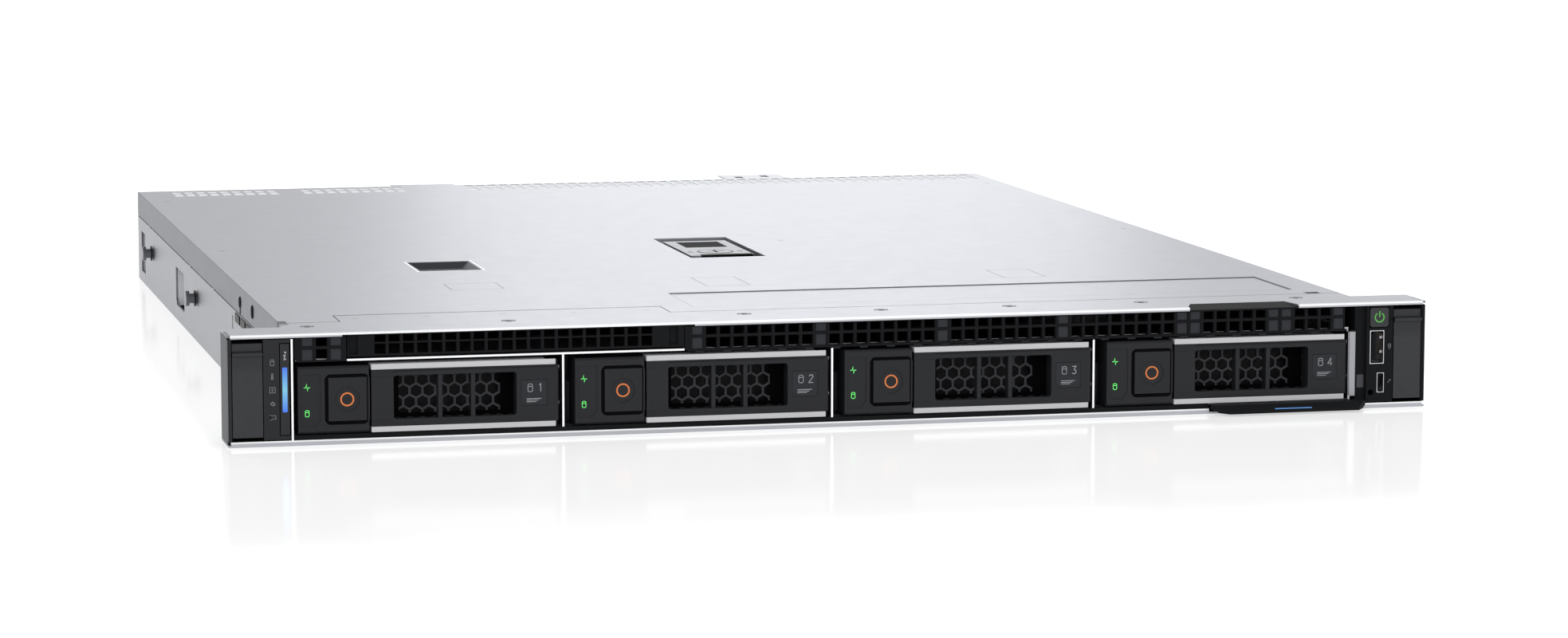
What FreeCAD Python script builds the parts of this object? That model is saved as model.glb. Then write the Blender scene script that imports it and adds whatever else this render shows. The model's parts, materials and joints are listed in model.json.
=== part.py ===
"""Parametric model of a one-unit rack server, drawn in millimetres.

+X points to the right of someone facing the server, +Y to its rear and +Z up.
The origin is on the underside, on the centre line, in the plane where the ears
meet the rack posts.  Inside this file every depth is measured from the front
face, and each sub-part is then placed back by the depth of the ears.
"""
import FreeCAD, Part
import math
import os
import re
import Sketcher

Vector = FreeCAD.Vector
Rotation = FreeCAD.Rotation
Placement = FreeCAD.Placement

# Driving dimensions, one spreadsheet cell each.
SIZES = {
    # overall, after the 19-inch rack standard
    "ear_half": 241.0, "body_half": 217.0, "height": 42.8, "depth": 571.0, "ear_depth": 22.0,
    "sheet": 0.8, "gap": 0.3, "slack": 0.2, "rack_hole_x": 232.55, "rack_hole_z": 22.2,
    "rack_hole_r": 3.4,
    # folded front edges and the split between fixed strip and cover
    "hem_depth": 4.0, "top_hem": 1.4, "low_hem": 2.1, "strip_depth": 33.6, "seam": 0.4,
    "step_depth": 53.0, "step_left": -193.0, "step_right": -62.6, "bare_left": -197.3,
    "bare_right": -60.0, "notch_left": 141.4, "notch_right": 187.2, "notch_depth": 11.8,
    "notch_slope": 4.0, "skirt_bottom": 31.5, "ledge_top": 31.2, "joggle": 1.3, "wall_drop": 0.4,
    "screw_row": 21.7, "seat_r": 2.9, "seat_deep": 0.5, "slot_left": 203.0, "slot_right": 209.0,
    "slot_reach": 5.6,
    # side openings and rail studs
    "window_from_rear": 205.0, "window_length": 34.0, "window_low": 7.0, "window_high": 24.5,
    "window_slant": 3.0, "rear_slot_from_rear": 33.5, "rear_slot_length": 18.0, "rear_slot_low": 5.3,
    "rear_slot_high": 25.0, "clip_first": 120.0, "clip_pitch": 18.5, "clip_width": 14.5,
    "clip_high": 3.4, "thin_slot": 181.5, "thin_width": 2.5, "thin_low": 21.0, "thin_high": 28.0,
    "stud_first": 130.0, "stud_from_rear": 69.0, "stud_z": 19.5, "stud_neck_r": 2.2, "stud_head_r": 3.4,
    "stud_reach": 5.0, "stud_head": 1.6,
    # drive bays
    "bay_count": 4, "bay_pitch": 107.2, "ring_first": -195.5, "ring_z": 17.1, "cage_floor": 3.0,
    "cage_roof": 31.9, "cage_end": 171.0, "divider_one": -111.85, "divider_pitch": 106.8,
    "cage_vent": 32.0, "cage_vent_length": 42.0, "cage_vent_first": 48.0, "cage_vent_pitch": 50.0,
    "post_left": 208.7, "post_width": 2.9, "post_low": 5.2, "post_high": 31.25, "post_depth": 6.0,
    # carrier, with widths measured from the centre of its release button
    "block_left": -18.9, "block_right": 8.3, "block_low": 4.3, "block_high": 30.0, "block_depth": 12.5,
    "block_bevel": 0.8, "rail_left": -20.3, "rail_right": 82.3, "rail_thick": 0.5, "rail_end": 160.0,
    "rail_high": 20.0, "drive_start": 18.0, "drive_length": 147.0, "drive_height": 26.1,
    "drive_low": 4.0, "lid_inset": 3.0, "lid_rise": 0.8, "plug_left": 38.0, "plug_right": 5.0,
    "plug_high": 6.5, "plug_deep": 5.0, "button_left": -7.25, "button_right": 7.5, "button_low": 8.9,
    "button_high": 25.6, "button_deep": 7.0, "button_back": 0.2, "button_travel": 2.0, "dimple_r": 4.75,
    "dimple_deep": 0.4, "led_left": -17.8, "led_right": -10.2, "led_low": 7.1, "led_high": 27.1,
    "led_deep": 0.3, "led_cut": 2.0, "handle_left": 9.2, "handle_right": 80.6, "handle_low": 4.2,
    "handle_high": 30.3, "trim": 2.05, "handle_front": 0.4, "handle_thick": 3.0, "trim_deep": 7.6,
    "trim_face": 0.7, "trim_proud": 0.1, "groove_low": 27.15, "groove_high": 27.6, "groove_deep": 0.35,
    "handle_lip": 1.2, "plate_left": 1.8, "plate_width": 10.4, "plate_low": 12.3, "plate_high": 22.5,
    "plate_deep": 0.15, "pad_proud": 0.15, "opening_left": 17.75, "opening_right": 65.4,
    "opening_low": 9.0, "opening_high": 25.7, "opening_r": 1.2, "rib_one": 35.0, "rib_two": 47.75,
    "rib_width": 1.6, "pivot_x": 80.2, "pivot_y": 2.6, "barrel_r": 2.1, "lug_r": 1.5, "pin_r": 0.8,
    "pin_fit": 0.05, "lug_height": 1.7, "mesh_pitch": 5.0, "mesh_web": 0.9, "mesh_plate": 1.0,
    # front grilles
    "grille_left": -63.8, "grille_right": 207.0, "grille_low": 31.4, "grille_drop": 1.5,
    "grille_cut": 1.2, "grille_front": 0.8, "grille_thick": 2.2, "cell_first": -58.75,
    "cell_pitch": 5.482, "cell_width": 4.3, "row_one_low": 32.3, "row_one_high": 36.7,
    "row_two_low": 37.8, "row_edge": 0.3, "blind_deep": 0.5, "corner_left": -215.5,
    "corner_right": -195.7, "corner_cell": -205.1, "blank_left": -195.3, "blank_right": -64.1,
    "blank_low": 33.4, "blank_gap": 0.1, "blank_first": -182.7, "blank_pitch": 5.468,
    "blank_one_low": 34.2, "blank_one_high": 38.1, "blank_two_low": 38.75, "blank_edge": 0.4,
    "latch_slot": 3.5, "latch_slot_low": 34.3, "blank_arm": 36.0, "blank_arm_thick": 1.2,
    # ears: housings, slam latches, buttons and ports
    "housing_low": 2.4, "housing_drop": 1.8, "housing_front": 0.3, "housing_back": 20.5, "cheek": 3.0,
    "icon_left": -227.5, "strip_left": -221.4, "strip_low": 4.0, "strip_high": 39.5, "strip_deep": 9.5,
    "key_deep": 8.0, "panel_left": 211.8, "panel_right": 227.4, "panel_step": 216.2, "step_back": 1.8,
    "power_left": 217.6, "power_right": 225.4, "power_low": 32.8, "power_high": 40.5, "power_deep": 6.6,
    "power_travel": 1.2, "power_corner": 1.0, "usb_left": 217.6, "usb_right": 223.6, "usb_low": 17.9,
    "usb_high": 31.4, "usb_deep": 14.5, "usb_wall": 0.6, "service_left": 220.75,
    "service_right": 223.75, "service_low": 6.25, "service_high": 14.25, "service_deep": 9.0,
    "service_wall": 0.45, "reset_x": 218.3, "reset_z": 6.3, "reset_r": 1.2, "reset_deep": 8.0,
    "latch_in": 227.8, "latch_out": 239.3, "latch_low": 3.6, "latch_high": 39.6, "latch_pivot_y": 4.5,
    "latch_pivot_z": 34.5, "latch_lip": 0.9, "lip_low": 34.9, "lip_high": 36.2, "latch_back": 6.6,
    "latch_pin_r": 1.2, "screw_head_r": 4.5, "screw_head": 7.0, "screw_gap": 2.6, "screw_r": 2.9,
    "screw_neck_r": 2.4, "screw_reach": 7.5,
    # information tag
    "tag_left": 150.2, "tag_right": 214.8, "tag_reach": 10.0, "tag_corner": 5.2, "tag_low": 1.1,
    "tag_high": 2.7, "tag_length": 75.0, "tag_lip_high": 3.9, "tag_edge": 2.5,
    # top cover
    "label_left": -49.7, "label_right": 202.0, "label_front": 49.3, "label_back": 95.7,
    "label_deep": 0.35, "pan_left": -12.7, "pan_right": 20.7, "pan_to_fans": 6.0, "pan_length": 79.5,
    "pan_deep": 4.6, "pan_flange": 4.5, "dimple_left": -136.0, "dimple_right": -108.7,
    "dimple_front": 195.5, "dimple_back": 231.0, "dimple_drop": 2.6, "dimple_slope": 4.5,
    "oval_y": 115.5, "oval_z": 37.4, "oval_r": 3.0, "keyhole_y": 156.0, "keyhole_z": 36.6,
    "keyhole_r": 2.6, "keyhole_stem": 1.6, "vent_from_rear": 28.0, "vent_length": 25.0,
    "vent_bridge": 2.0, "vent_width": 4.2, "vent_pitch": 5.9, "tongue_left": -89.0,
    "tongue_right": -57.0, "tongue_reach": 7.0, "tab_left": 84.0, "tab_right": 116.0, "tab_reach": 20.0,
    "tab_slot_width": 4.0, "tab_slot_length": 9.0, "lever_left": -10.2, "lever_right": 18.2,
    "finger_gap": 11.5, "hinge_to_pan": 7.0, "lever_thick": 2.0, "lever_drop": 0.4, "hinge_drop": 2.5,
    "view_left": -5.3, "view_right": 13.7, "view_front": 29.0, "view_back": 6.5, "lock_x": 4.0,
    "lock_inset": 14.7, "lock_r": 8.0, "lock_core_r": 4.0, "lock_slot": 1.4,
    # cooling
    "fan_size": 40.0, "fan_first": -55.0, "fan_pitch": 60.0, "fan_from_rear": 266.0, "fan_deep": 28.0,
    "fan_wall": 0.8, "tip_gap": 0.6, "hub_r": 10.5, "strut_deep": 2.4, "strut_width": 2.0,
    "axle_r": 1.5, "blade_reach": 13.0, "blade_thick": 1.4, "root_pitch": 50.0, "tip_pitch": 30.0,
    # boards
    "board_left": -78.0, "board_right": 212.0, "board_from_rear": 231.0, "board_gap": 3.0,
    "board_low": 6.0, "board_thick": 1.6, "board_notch": 34.0, "board_notch_length": 26.0,
    "backplane_y": 172.0, "post_r": 3.2, "board_screw_r": 1.7, "socket_high": 4.0,
    "memory_first": 134.0, "memory_pitch": 10.5, "memory_start": 12.0, "memory_length": 142.0,
    "memory_seat": 5.5, "memory_tower": 17.0, "memory_clip": 4.5, "module_height": 30.0,
    "module_thick": 1.3, "module_low": 1.7, "sink_left": 32.0, "sink_width": 86.0, "sink_start": 22.0,
    "sink_length": 88.0, "sink_base": 4.0, "sink_drop": 5.3, "fin_pitch": 3.56, "fin_thick": 0.8,
    "shroud_left": 18.6, "shroud_right": 185.6, "shroud_wall": 1.6, "shroud_length": 160.0,
    "shroud_drop": 1.6, "shroud_low": 18.0, "riser_x": 126.0, "riser_from_rear": 63.0,
    "riser_length": 52.0, "riser_high": 38.0,
    # rear wall: connectors stand on the board, card slots above them
    "port_low": 8.2, "port_gap": 0.4, "port_body": 18.0, "slot_first": 44.0, "slot_pitch": 85.0,
    "slot_width": 79.0, "slot_low": 24.0, "slot_drop": 2.8, "slot_lap": 2.0, "wall_vent_first": 92.0,
    "wall_vent_pitch": 8.0, "wall_vent_width": 5.0, "wall_vent_low": 8.5, "wall_vent_high": 19.5,
    # power supplies
    "supply_width": 60.0, "bay_gap": 4.8, "bay_clear": 1.1, "supply_left": -209.3, "supply_low": 1.1,
    "supply_high": 40.1, "supply_length": 185.0, "grip_reach": 20.0, "grip_left": 14.0,
    "grip_width": 5.0, "grip_low": 6.0, "grip_high": 35.0, "grip_bar": 3.0, "inlet_width": 27.0,
    "inlet_edge": 2.0, "inlet_low": 6.0, "inlet_high": 26.0, "inlet_frame": 1.6, "exhaust_x": 16.5,
    "exhaust_z": 20.5, "exhaust_r": 16.0, "exhaust_pitch": 5.0, "exhaust_slot": 3.2,
    "release_edge": 1.5, "release_z": 28.5, "release_lug": 1.5, "release_height": 9.5,
    "release_reach": 14.0, "release_y": 3.0,
}

# Sizes that fit to others, as formulas of the sheet's aliases.
FITS = {
    "wall_top": "height - sheet - wall_drop", "stud_pitch": "(depth - stud_first - stud_from_rear) / 2",
    "window_y": "depth - window_from_rear", "rear_slot_y": "depth - rear_slot_from_rear",
    "grille_high": "height - grille_drop", "row_two_high": "grille_high - row_edge",
    "blank_high": "height - sheet - blank_gap", "blank_two_high": "blank_high - blank_edge",
    "housing_high": "height - housing_drop", "fan_front": "depth - fan_from_rear",
    "fan_z": "sheet + fan_size / 2", "fan_bore": "fan_size / 2 - fan_wall",
    "blade_r": "fan_bore - tip_gap", "pan_back": "fan_front - pan_to_fans",
    "pan_front": "pan_back - pan_length", "lever_front": "pan_front + finger_gap",
    "lever_hinge": "pan_back - hinge_to_pan", "lever_top": "height - lever_drop",
    "lever_hinge_z": "height - hinge_drop", "lock_y": "lever_front + lock_inset",
    "vent_front": "depth - vent_from_rear", "board_front": "depth - board_from_rear",
    "board_back": "depth - board_gap", "board_top": "board_low + board_thick",
    "shroud_top": "height - shroud_drop", "slot_high": "height - slot_drop",
    "supply_pitch": "supply_width + bay_gap", "supply_front": "depth - supply_length",
    "bay_wall": "supply_left + supply_pitch + supply_width + bay_clear",
}

doc = FreeCAD.newDocument("rack_server")
sizes = doc.addObject("Spreadsheet::Sheet", "Sizes")
for row, (alias, number) in enumerate(SIZES.items(), start=1):
    sizes.set("A%d" % row, alias)
    sizes.set("B%d" % row, str(number))
    sizes.setAlias("B%d" % row, alias)
doc.recompute()

subparts = {}


def formula(text):
    """Turn alias words into references to the spreadsheet, and fitted sizes into their formulas."""
    def reference(word):
        name = word.group()
        return "(%s)" % formula(FITS[name]) if name in FITS else "Sizes." + name
    return re.sub(r"[a-z][a-z_]+", reference, str(text))


def value(text):
    """Number that a formula of aliases gives now."""
    return float(sizes.evalExpression(formula(text)))


def bind(obj, **formulas):
    """Bind properties to formulas; a double underscore stands for a dot."""
    for name, text in formulas.items():
        obj.setExpression(name.replace("__", "."), formula(text))
    return obj


def block(x, y, z):
    """Box between two formulas on each axis."""
    box = doc.addObject("Part::Box", "block")
    bind(box, Length="(%s) - (%s)" % (x[1], x[0]), Width="(%s) - (%s)" % (y[1], y[0]),
         Height="(%s) - (%s)" % (z[1], z[0]))
    return bind(box, Placement__Base__x=x[0], Placement__Base__y=y[0], Placement__Base__z=z[0])


TURNS = {"x": Rotation(Vector(0, 1, 0), 90), "y": Rotation(Vector(1, 0, 0), -90), "z": Rotation()}


def rod(axis, radius, start, length):
    """Cylinder from a start point along +X, +Y or +Z."""
    cylinder = doc.addObject("Part::Cylinder", "rod")
    cylinder.Placement = Placement(Vector(), TURNS[axis])
    bind(cylinder, Radius=radius, Height=length)
    return bind(cylinder, Placement__Base__x=start[0], Placement__Base__y=start[1],
                Placement__Base__z=start[2])


def fuse(*shapes):
    """Union of solids."""
    union = doc.addObject("Part::MultiFuse", "union")
    union.Shapes = list(shapes)
    union.Refine = True
    return union


def group(*shapes):
    """Separate solids kept together in one object."""
    pieces = doc.addObject("Part::Compound", "group")
    pieces.Links = list(shapes)
    return pieces


def cut(base, *tools):
    """Base less one or more tools."""
    cutter = tools[0] if len(tools) == 1 else group(*tools)
    result = doc.addObject("Part::Cut", "cut")
    result.Base = base
    result.Tool = cutter
    return result


def common(first, second):
    """Solid shared by two solids."""
    shared = doc.addObject("Part::Common", "common")
    shared.Base = first
    shared.Tool = second
    return shared


def origin_plane(body, role):
    """Origin plane of a body, found by its role."""
    return next(plane for plane in body.Origin.OriginFeatures if plane.Role == role)


def sketch_on(body, plane, start, name):
    """Empty sketch on a body's origin plane, moved along the plane's normal."""
    sketch = body.newObject("Sketcher::SketchObject", name)
    sketch.AttachmentSupport = [(origin_plane(body, plane), "")]
    sketch.MapMode = "FlatFace"
    return bind(sketch, AttachmentOffset__Base__z="-(%s)" % start if plane == "XZ_Plane" else start)


def draw_loop(sketch, corners):
    """Closed loop of lines whose corners are all dimensioned from the body's origin."""
    points = [Vector(value(across), value(up), 0) for across, up in corners]
    base = sketch.GeometryCount
    count = len(points)
    for number, point in enumerate(points):
        sketch.addGeometry(Part.LineSegment(point, points[(number + 1) % count]), False)
    for number in range(count):
        joined = Sketcher.Constraint("Coincident", base + number, 2, base + (number + 1) % count, 1)
        sketch.addConstraint(joined)
    for number, (across, up) in enumerate(corners):
        for kind, text, now in (("DistanceX", across, points[number].x),
                                ("DistanceY", up, points[number].y)):
            place = sketch.addConstraint(Sketcher.Constraint(kind, -1, 1, base + number, 1, now))
            sketch.setExpression("Constraints[%d]" % place, formula(text))


def profile(plane, corners, start, length):
    """Body padded from a dimensioned outline; corners are (across, up) formulas."""
    body = doc.addObject("PartDesign::Body", "profile")
    sketch = sketch_on(body, plane, start, "outline")
    draw_loop(sketch, corners)
    pad = body.newObject("PartDesign::Pad", "pad")
    pad.Profile = sketch
    pad.Reversed = plane == "XZ_Plane"
    bind(pad, Length=length)
    body.Tip = pad
    return body


def copies(master, shifts):
    """Compound of one shape moved to several places."""
    doc.recompute()
    array = doc.addObject("Part::Feature", "array")
    array.Shape = Part.makeCompound([master.Shape.translated(Vector(*shift)) for shift in shifts])
    return array


def subpart(label, obj):
    """Name a finished sub-part and place it behind the front face."""
    if obj.TypeId == "Part::Box":
        obj = group(obj)
    obj.Label = label
    bind(obj, Placement__Base__y="-ear_depth")
    subparts[label] = obj
    return obj


# ---------------------------------------------------------------- chassis
BOARD_POSTS = [(across, along) for across in ("board_left + 18", "board_left + 118", "board_right - 60")
               for along in ("board_front + 8", "board_back - 22")]
CLIPS_PER_SIDE = 3

# Cut-out of each connector in the rear wall: width and height.
PORT_KINDS = {"dsub": (30, 12), "usb": (14, 6.7), "network": (16, 13.4)}
# Each connector of the rear wall: kind, left edge and height above the lowest row.
PORTS = {
    "serial": ("dsub", -76, 0), "video": ("dsub", -40, 0), "usb_one": ("usb", -4, 0),
    "usb_two": ("usb", -4, 6.7),
    "network_one": ("network", 18, 0), "network_two": ("network", 38, 0),
    "network_three": ("network", 58, 0),
}
CARD_SLOTS = 2
WALL_VENTS = 14


def chassis_tray():
    """Folded tray with a step in its side walls, and the rear wall that stands on its floor."""
    solids = [
        block(("-body_half", "body_half"), ("0", "depth"), ("0", "sheet")),
        block(("-ear_half", "ear_half"), ("0", "ear_depth"), ("0", "sheet")),
        block(("-ear_half + sheet + slack", "tag_left - gap"), ("0", "hem_depth"), ("0", "low_hem")),
        block(("tag_right + gap", "ear_half - sheet - slack"), ("0", "hem_depth"), ("0", "low_hem")),
        block(("-body_half", "-body_half + sheet"), ("0", "ear_depth"), ("0", "housing_high")),
    ]
    for side in ("-1", "1"):
        outer = side + " * body_half"
        edge = side + " * (body_half - sheet)"
        inset = side + " * (body_half - joggle)"
        inner = side + " * (body_half - joggle - sheet)"
        spans = ((outer, edge), (outer, inner), (inset, inner))
        low, step, high = [sorted(span, key=value) for span in spans]
        solids += [
            block(low, ("ear_depth", "depth"), ("0", "ledge_top")),
            block(step, ("ear_depth", "depth"), ("ledge_top - sheet", "ledge_top")),
            block(high, ("ear_depth + 1", "depth"), ("ledge_top - sheet", "wall_top")),
        ]
    corner = ("-body_half", "supply_left - gap")
    inset_corner = ("-body_half + joggle", "supply_left - gap")
    rear = ("depth - sheet", "depth")
    solids += [
        block(corner, rear, ("0", "ledge_top")),
        block(inset_corner, rear, ("0", "wall_top")),
        block(("-body_half + joggle", "bay_wall"), ("depth - 4", "depth"), ("wall_top - sheet", "wall_top")),
    ]
    solids += [hex_post(across, along, "sheet / 2", "board_low") for across, along in BOARD_POSTS]
    tray = cut(fuse(*solids), *side_openings())
    wall = fuse(block(("bay_wall", "body_half - sheet"), rear, ("sheet", "ledge_top - sheet")),
                block(("bay_wall", "body_half - joggle - sheet"), rear, ("sheet", "wall_top")))
    return subpart("chassis_tray", group(tray, cut(wall, *rear_wall_openings())))


def side_openings():
    """Tools for the windows, rear slots and clip holes of both side walls."""
    wall = ("-body_half - 1", "body_half + 1")
    window = profile("YZ_Plane", (
        ("window_y", "window_low"), ("window_y + window_length - window_slant", "window_low"),
        ("window_y + window_length", "window_low + window_slant"),
        ("window_y + window_length", "window_high"),
        ("window_y + window_slant", "window_high"), ("window_y", "window_high - window_slant")),
        wall[0], "2 * body_half + 2")
    tools = [
        window,
        block(wall, ("rear_slot_y", "rear_slot_y + rear_slot_length"), ("rear_slot_low", "rear_slot_high")),
        block(wall, ("thin_slot", "thin_slot + thin_width"), ("thin_low", "thin_high")),
    ]
    for number in range(CLIPS_PER_SIDE):
        start = "clip_first + %d * clip_pitch" % number
        tools.append(block(wall, (start, start + " + clip_width"),
                           ("ledge_top - sheet - clip_high", "ledge_top - sheet")))
    return tools


def hex_post(across, along, low, high):
    """Hexagonal standoff between two heights."""
    post = doc.addObject("Part::Prism", "post")
    post.Polygon = 6
    bind(post, Circumradius="post_r", Height="%s - (%s)" % (high, low))
    return bind(post, Placement__Base__x=across, Placement__Base__y=along, Placement__Base__z=low)


def port_span(name):
    """Left, right, low and high of one connector's cut-out, as formulas."""
    kind, left, raised = PORTS[name]
    width, tall = PORT_KINDS[kind]
    return str(left), str(left + width), "port_low + %s" % raised, "port_low + %s" % (raised + tall)


def card_slot(number):
    """Left edge of one half-height card slot."""
    return "slot_first + %d * slot_pitch" % number


def rear_wall_openings():
    """Tools for the connectors, card slots and vent slots of the rear wall."""
    behind = ("depth - 3", "depth + 1")
    tools = []
    for name in PORTS:
        left, right, low, high = port_span(name)
        tools.append(block((left, right), behind, (low, high)))
    for number in range(CARD_SLOTS):
        left = card_slot(number)
        tools.append(block((left + " + slot_lap", left + " + slot_width - slot_lap"), behind,
                           ("slot_low", "slot_high")))
    for number in range(WALL_VENTS):
        left = "wall_vent_first + %d * wall_vent_pitch" % number
        tools.append(block((left, left + " + wall_vent_width"), behind,
                           ("wall_vent_low", "wall_vent_high")))
    return tools


NOTCH = (("notch_left", "-1"), ("notch_right", "-1"), ("notch_right", "2"),
         ("notch_right - notch_slope / 2", "notch_depth"), ("notch_left + notch_slope", "notch_depth"),
         ("notch_left", "2"))
STRIP_SCREWS = (-207.7, -129.3, -35.3, 20.3, 73, 128, 193.7)  # across, along the row of cover screws


def front_top_strip():
    """Fixed sheet behind the front edge, with its hem, notch, step, screw seats and side flanges."""
    plate = ("height - sheet", "height")
    solids = [
        block(("-body_half", "body_half"), ("0", "strip_depth"), plate),
        block(("-ear_half", "ear_half"), ("0", "ear_depth"), plate),
        block(("step_left", "step_right"), ("strip_depth - 1", "step_depth"), plate),
    ]
    for left, right in (("-ear_half + sheet + slack", "bare_left"), ("bare_right", "notch_left"),
                        ("notch_right", "ear_half - sheet - slack")):
        solids.append(block((left, right), ("0", "hem_depth"), ("height - top_hem", "height")))
    for left, right in (("-body_half", "-body_half + sheet"), ("body_half - sheet", "body_half")):
        solids.append(block((left, right), ("ear_depth", "strip_depth"), ("skirt_bottom", "height")))
    notch = profile("XY_Plane", NOTCH, "height - 3", "4")
    seats = [rod("z", "seat_r", (str(across), "screw_row", "height - seat_deep"), "2")
             for across in STRIP_SCREWS]
    return subpart("front_top_strip", cut(fuse(*solids), notch, *seats))


def rack_ears():
    """Left and right ear: outer side plate and the flange that meets the rack post."""
    ears = []
    for side in ("-1", "1"):
        plate = sorted((side + " * ear_half", side + " * (ear_half - sheet)"), key=value)
        flange = sorted((side + " * ear_half", side + " * body_half"), key=value)
        solids = fuse(
            block(plate, ("cheek + gap", "ear_depth"), ("sheet", "height - sheet")),
            block(flange, ("ear_depth - sheet", "ear_depth"), ("sheet", "height - sheet")))
        hole = rod("y", "rack_hole_r", (side + " * rack_hole_x", "ear_depth - 3", "rack_hole_z"), "4")
        ears.append(cut(solids, hole))
    return subpart("rack_ears", group(*ears))


def ear_hardware():
    """Captive rack screws and the pins that the slam latches turn on."""
    pieces = []
    for side in ("-1", "1"):
        middle = side + " * rack_hole_x"
        head = "latch_back + screw_gap"
        pieces.append(fuse(
            rod("y", "screw_head_r", (middle, head, "rack_hole_z"), "screw_head"),
            rod("y", "screw_neck_r", (middle, head + " + 1", "rack_hole_z"), "ear_depth - (%s)" % head),
            rod("y", "screw_r", (middle, "ear_depth + gap + 0.1", "rack_hole_z"),
                "screw_reach - gap - 0.1")))
        start = value(side + " * (latch_out + latch_in) / 2") - value("(latch_out - latch_in) / 2 + gap")
        pieces.append(rod("x", "latch_pin_r", (start, "latch_pivot_y", "latch_pivot_z"),
                          "latch_out - latch_in + 2 * gap"))
    return subpart("ear_hardware", group(*pieces))


def rail_studs():
    """Headed studs on both sides that hook into the sliding rails."""
    studs = []
    for number in range(3):
        along = "stud_first + %d * stud_pitch" % number
        neck = "stud_reach - stud_head / 2"
        left = fuse(rod("x", "stud_neck_r", ("-body_half - (%s)" % neck, along, "stud_z"), neck),
                    rod("x", "stud_head_r", ("-body_half - stud_reach", along, "stud_z"), "stud_head"))
        right = fuse(rod("x", "stud_neck_r", ("body_half", along, "stud_z"), neck),
                     rod("x", "stud_head_r", ("body_half + stud_reach - stud_head", along, "stud_z"),
                         "stud_head"))
        studs += [left, right]
    return subpart("rail_studs", group(*studs))


# ---------------------------------------------------------------- front
def row_pockets(body, first, pitch, rows, runs, deep, name):
    """Pockets for runs of cells: each run is (first column, count)."""
    for number, (column, count) in enumerate(runs):
        sketch = sketch_on(body, "XZ_Plane", "grille_front", "%s_cells_%d" % (name, number))
        left = "%s + %d * %s - cell_width / 2" % (first, column, pitch)
        right = left + " + cell_width"
        for low, high in rows:
            draw_loop(sketch, [(left, low), (right, low), (right, high), (left, high)])
        pocket = body.newObject("PartDesign::Pocket", "%s_pocket_%d" % (name, number))
        pocket.Profile = sketch
        bind(pocket, Length=deep)
        body.Tip = pocket
        if count > 1:
            pattern = body.newObject("PartDesign::LinearPattern", "%s_row_%d" % (name, number))
            pattern.Originals = [pocket]
            pattern.Direction = (sketch, ["H_Axis"])
            pattern.Occurrences = count
            bind(pattern, Length="%d * %s" % (count - 1, pitch))
            body.Tip = pattern
    return body


def grille_body(outline_corners, first, pitch, rows, open_runs, blind_runs):
    """Moulded grille plate with open cells and shallow blind ones."""
    body = profile("XZ_Plane", outline_corners, "grille_front", "grille_thick")
    row_pockets(body, first, pitch, rows, open_runs, "grille_thick + 1", "open")
    row_pockets(body, first, pitch, rows, blind_runs, "blind_deep", "blind")
    return body


# Columns of the long grille: (first column, count) of the open runs and of the blind ones.
OPEN_RUNS = ((1, 8), (10, 8), (19, 8), (28, 8), (38, 5), (45, 3))
BLIND_RUNS = ((0, 1), (9, 1), (18, 1), (27, 1), (36, 2), (43, 2), (48, 1))


def front_grilles():
    """Black vent grille, its corner piece, the sloped filler of the notch and the sill."""
    rows = (("row_one_low", "row_one_high"), ("row_two_low", "row_two_high"))
    main = grille_body(
        (("grille_left + grille_cut", "grille_low"), ("grille_right", "grille_low"),
         ("grille_right", "grille_high"), ("grille_left", "grille_high"),
         ("grille_left", "grille_low + grille_cut")),
        "cell_first", "cell_pitch", rows, OPEN_RUNS, BLIND_RUNS)
    corner = grille_body(
        (("corner_left + grille_cut", "grille_low + 0.4"), ("corner_right", "grille_low + 0.4"),
         ("corner_right", "grille_high"), ("corner_left", "grille_high"),
         ("corner_left", "grille_low + 0.4 + grille_cut")),
        "corner_cell - cell_pitch", "cell_pitch", rows, ((1, 1),), ((0, 1), (2, 1)))
    slope = profile("YZ_Plane", (("grille_front", "grille_high - 0.1"), ("grille_front", "height - 1.1"),
                                 ("notch_depth - slack", "height"), ("notch_depth - slack", "height - 1.4"),
                                 ("grille_front + 3", "grille_high - 0.1")),
                    "notch_left", "notch_right - notch_left")
    inset = [("%s %s slack" % (across, "+" if "left" in across else "-"), up) for across, up in NOTCH]
    filler = common(slope, profile("XY_Plane", inset, "height - 3", "4"))
    sill = block(("-body_half + sheet + gap", "tag_left - gap"), ("1", "hem_depth - slack"),
                 ("low_hem", "cage_floor + sheet"))
    return subpart("front_grilles", group(fuse(main, filler), corner, sill))


def optical_bay_blank():
    """Blank in the slim drive bay: grille plate, two latch slots and its side arms."""
    body = profile("XZ_Plane", (("blank_left", "blank_low"), ("blank_right", "blank_low"),
                                ("blank_right", "blank_high"), ("blank_left", "blank_high")),
                   "grille_front", "grille_thick")
    rows = (("blank_one_low", "blank_one_high"), ("blank_two_low", "blank_two_high"))
    row_pockets(body, "blank_first", "blank_pitch", rows, ((0, 20),), "grille_thick + 1", "open")
    left = block(("blank_left + 0.5", "blank_left + 0.5 + latch_slot"), ("0", "2"),
                 ("latch_slot_low", "blank_high - 0.6"))
    right = block(("blank_right - 2.4 - latch_slot", "blank_right - 2.4"), ("0", "2"),
                  ("latch_slot_low", "blank_high - 0.6"))
    arms = [block(span, ("grille_front + grille_thick - 0.5", "blank_arm"), ("blank_low", "blank_high - 2"))
            for span in (("blank_left", "blank_left + blank_arm_thick"),
                         ("blank_right - blank_arm_thick", "blank_right"))]
    return subpart("optical_bay_blank", cut(fuse(body, *arms), left, right))


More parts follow.
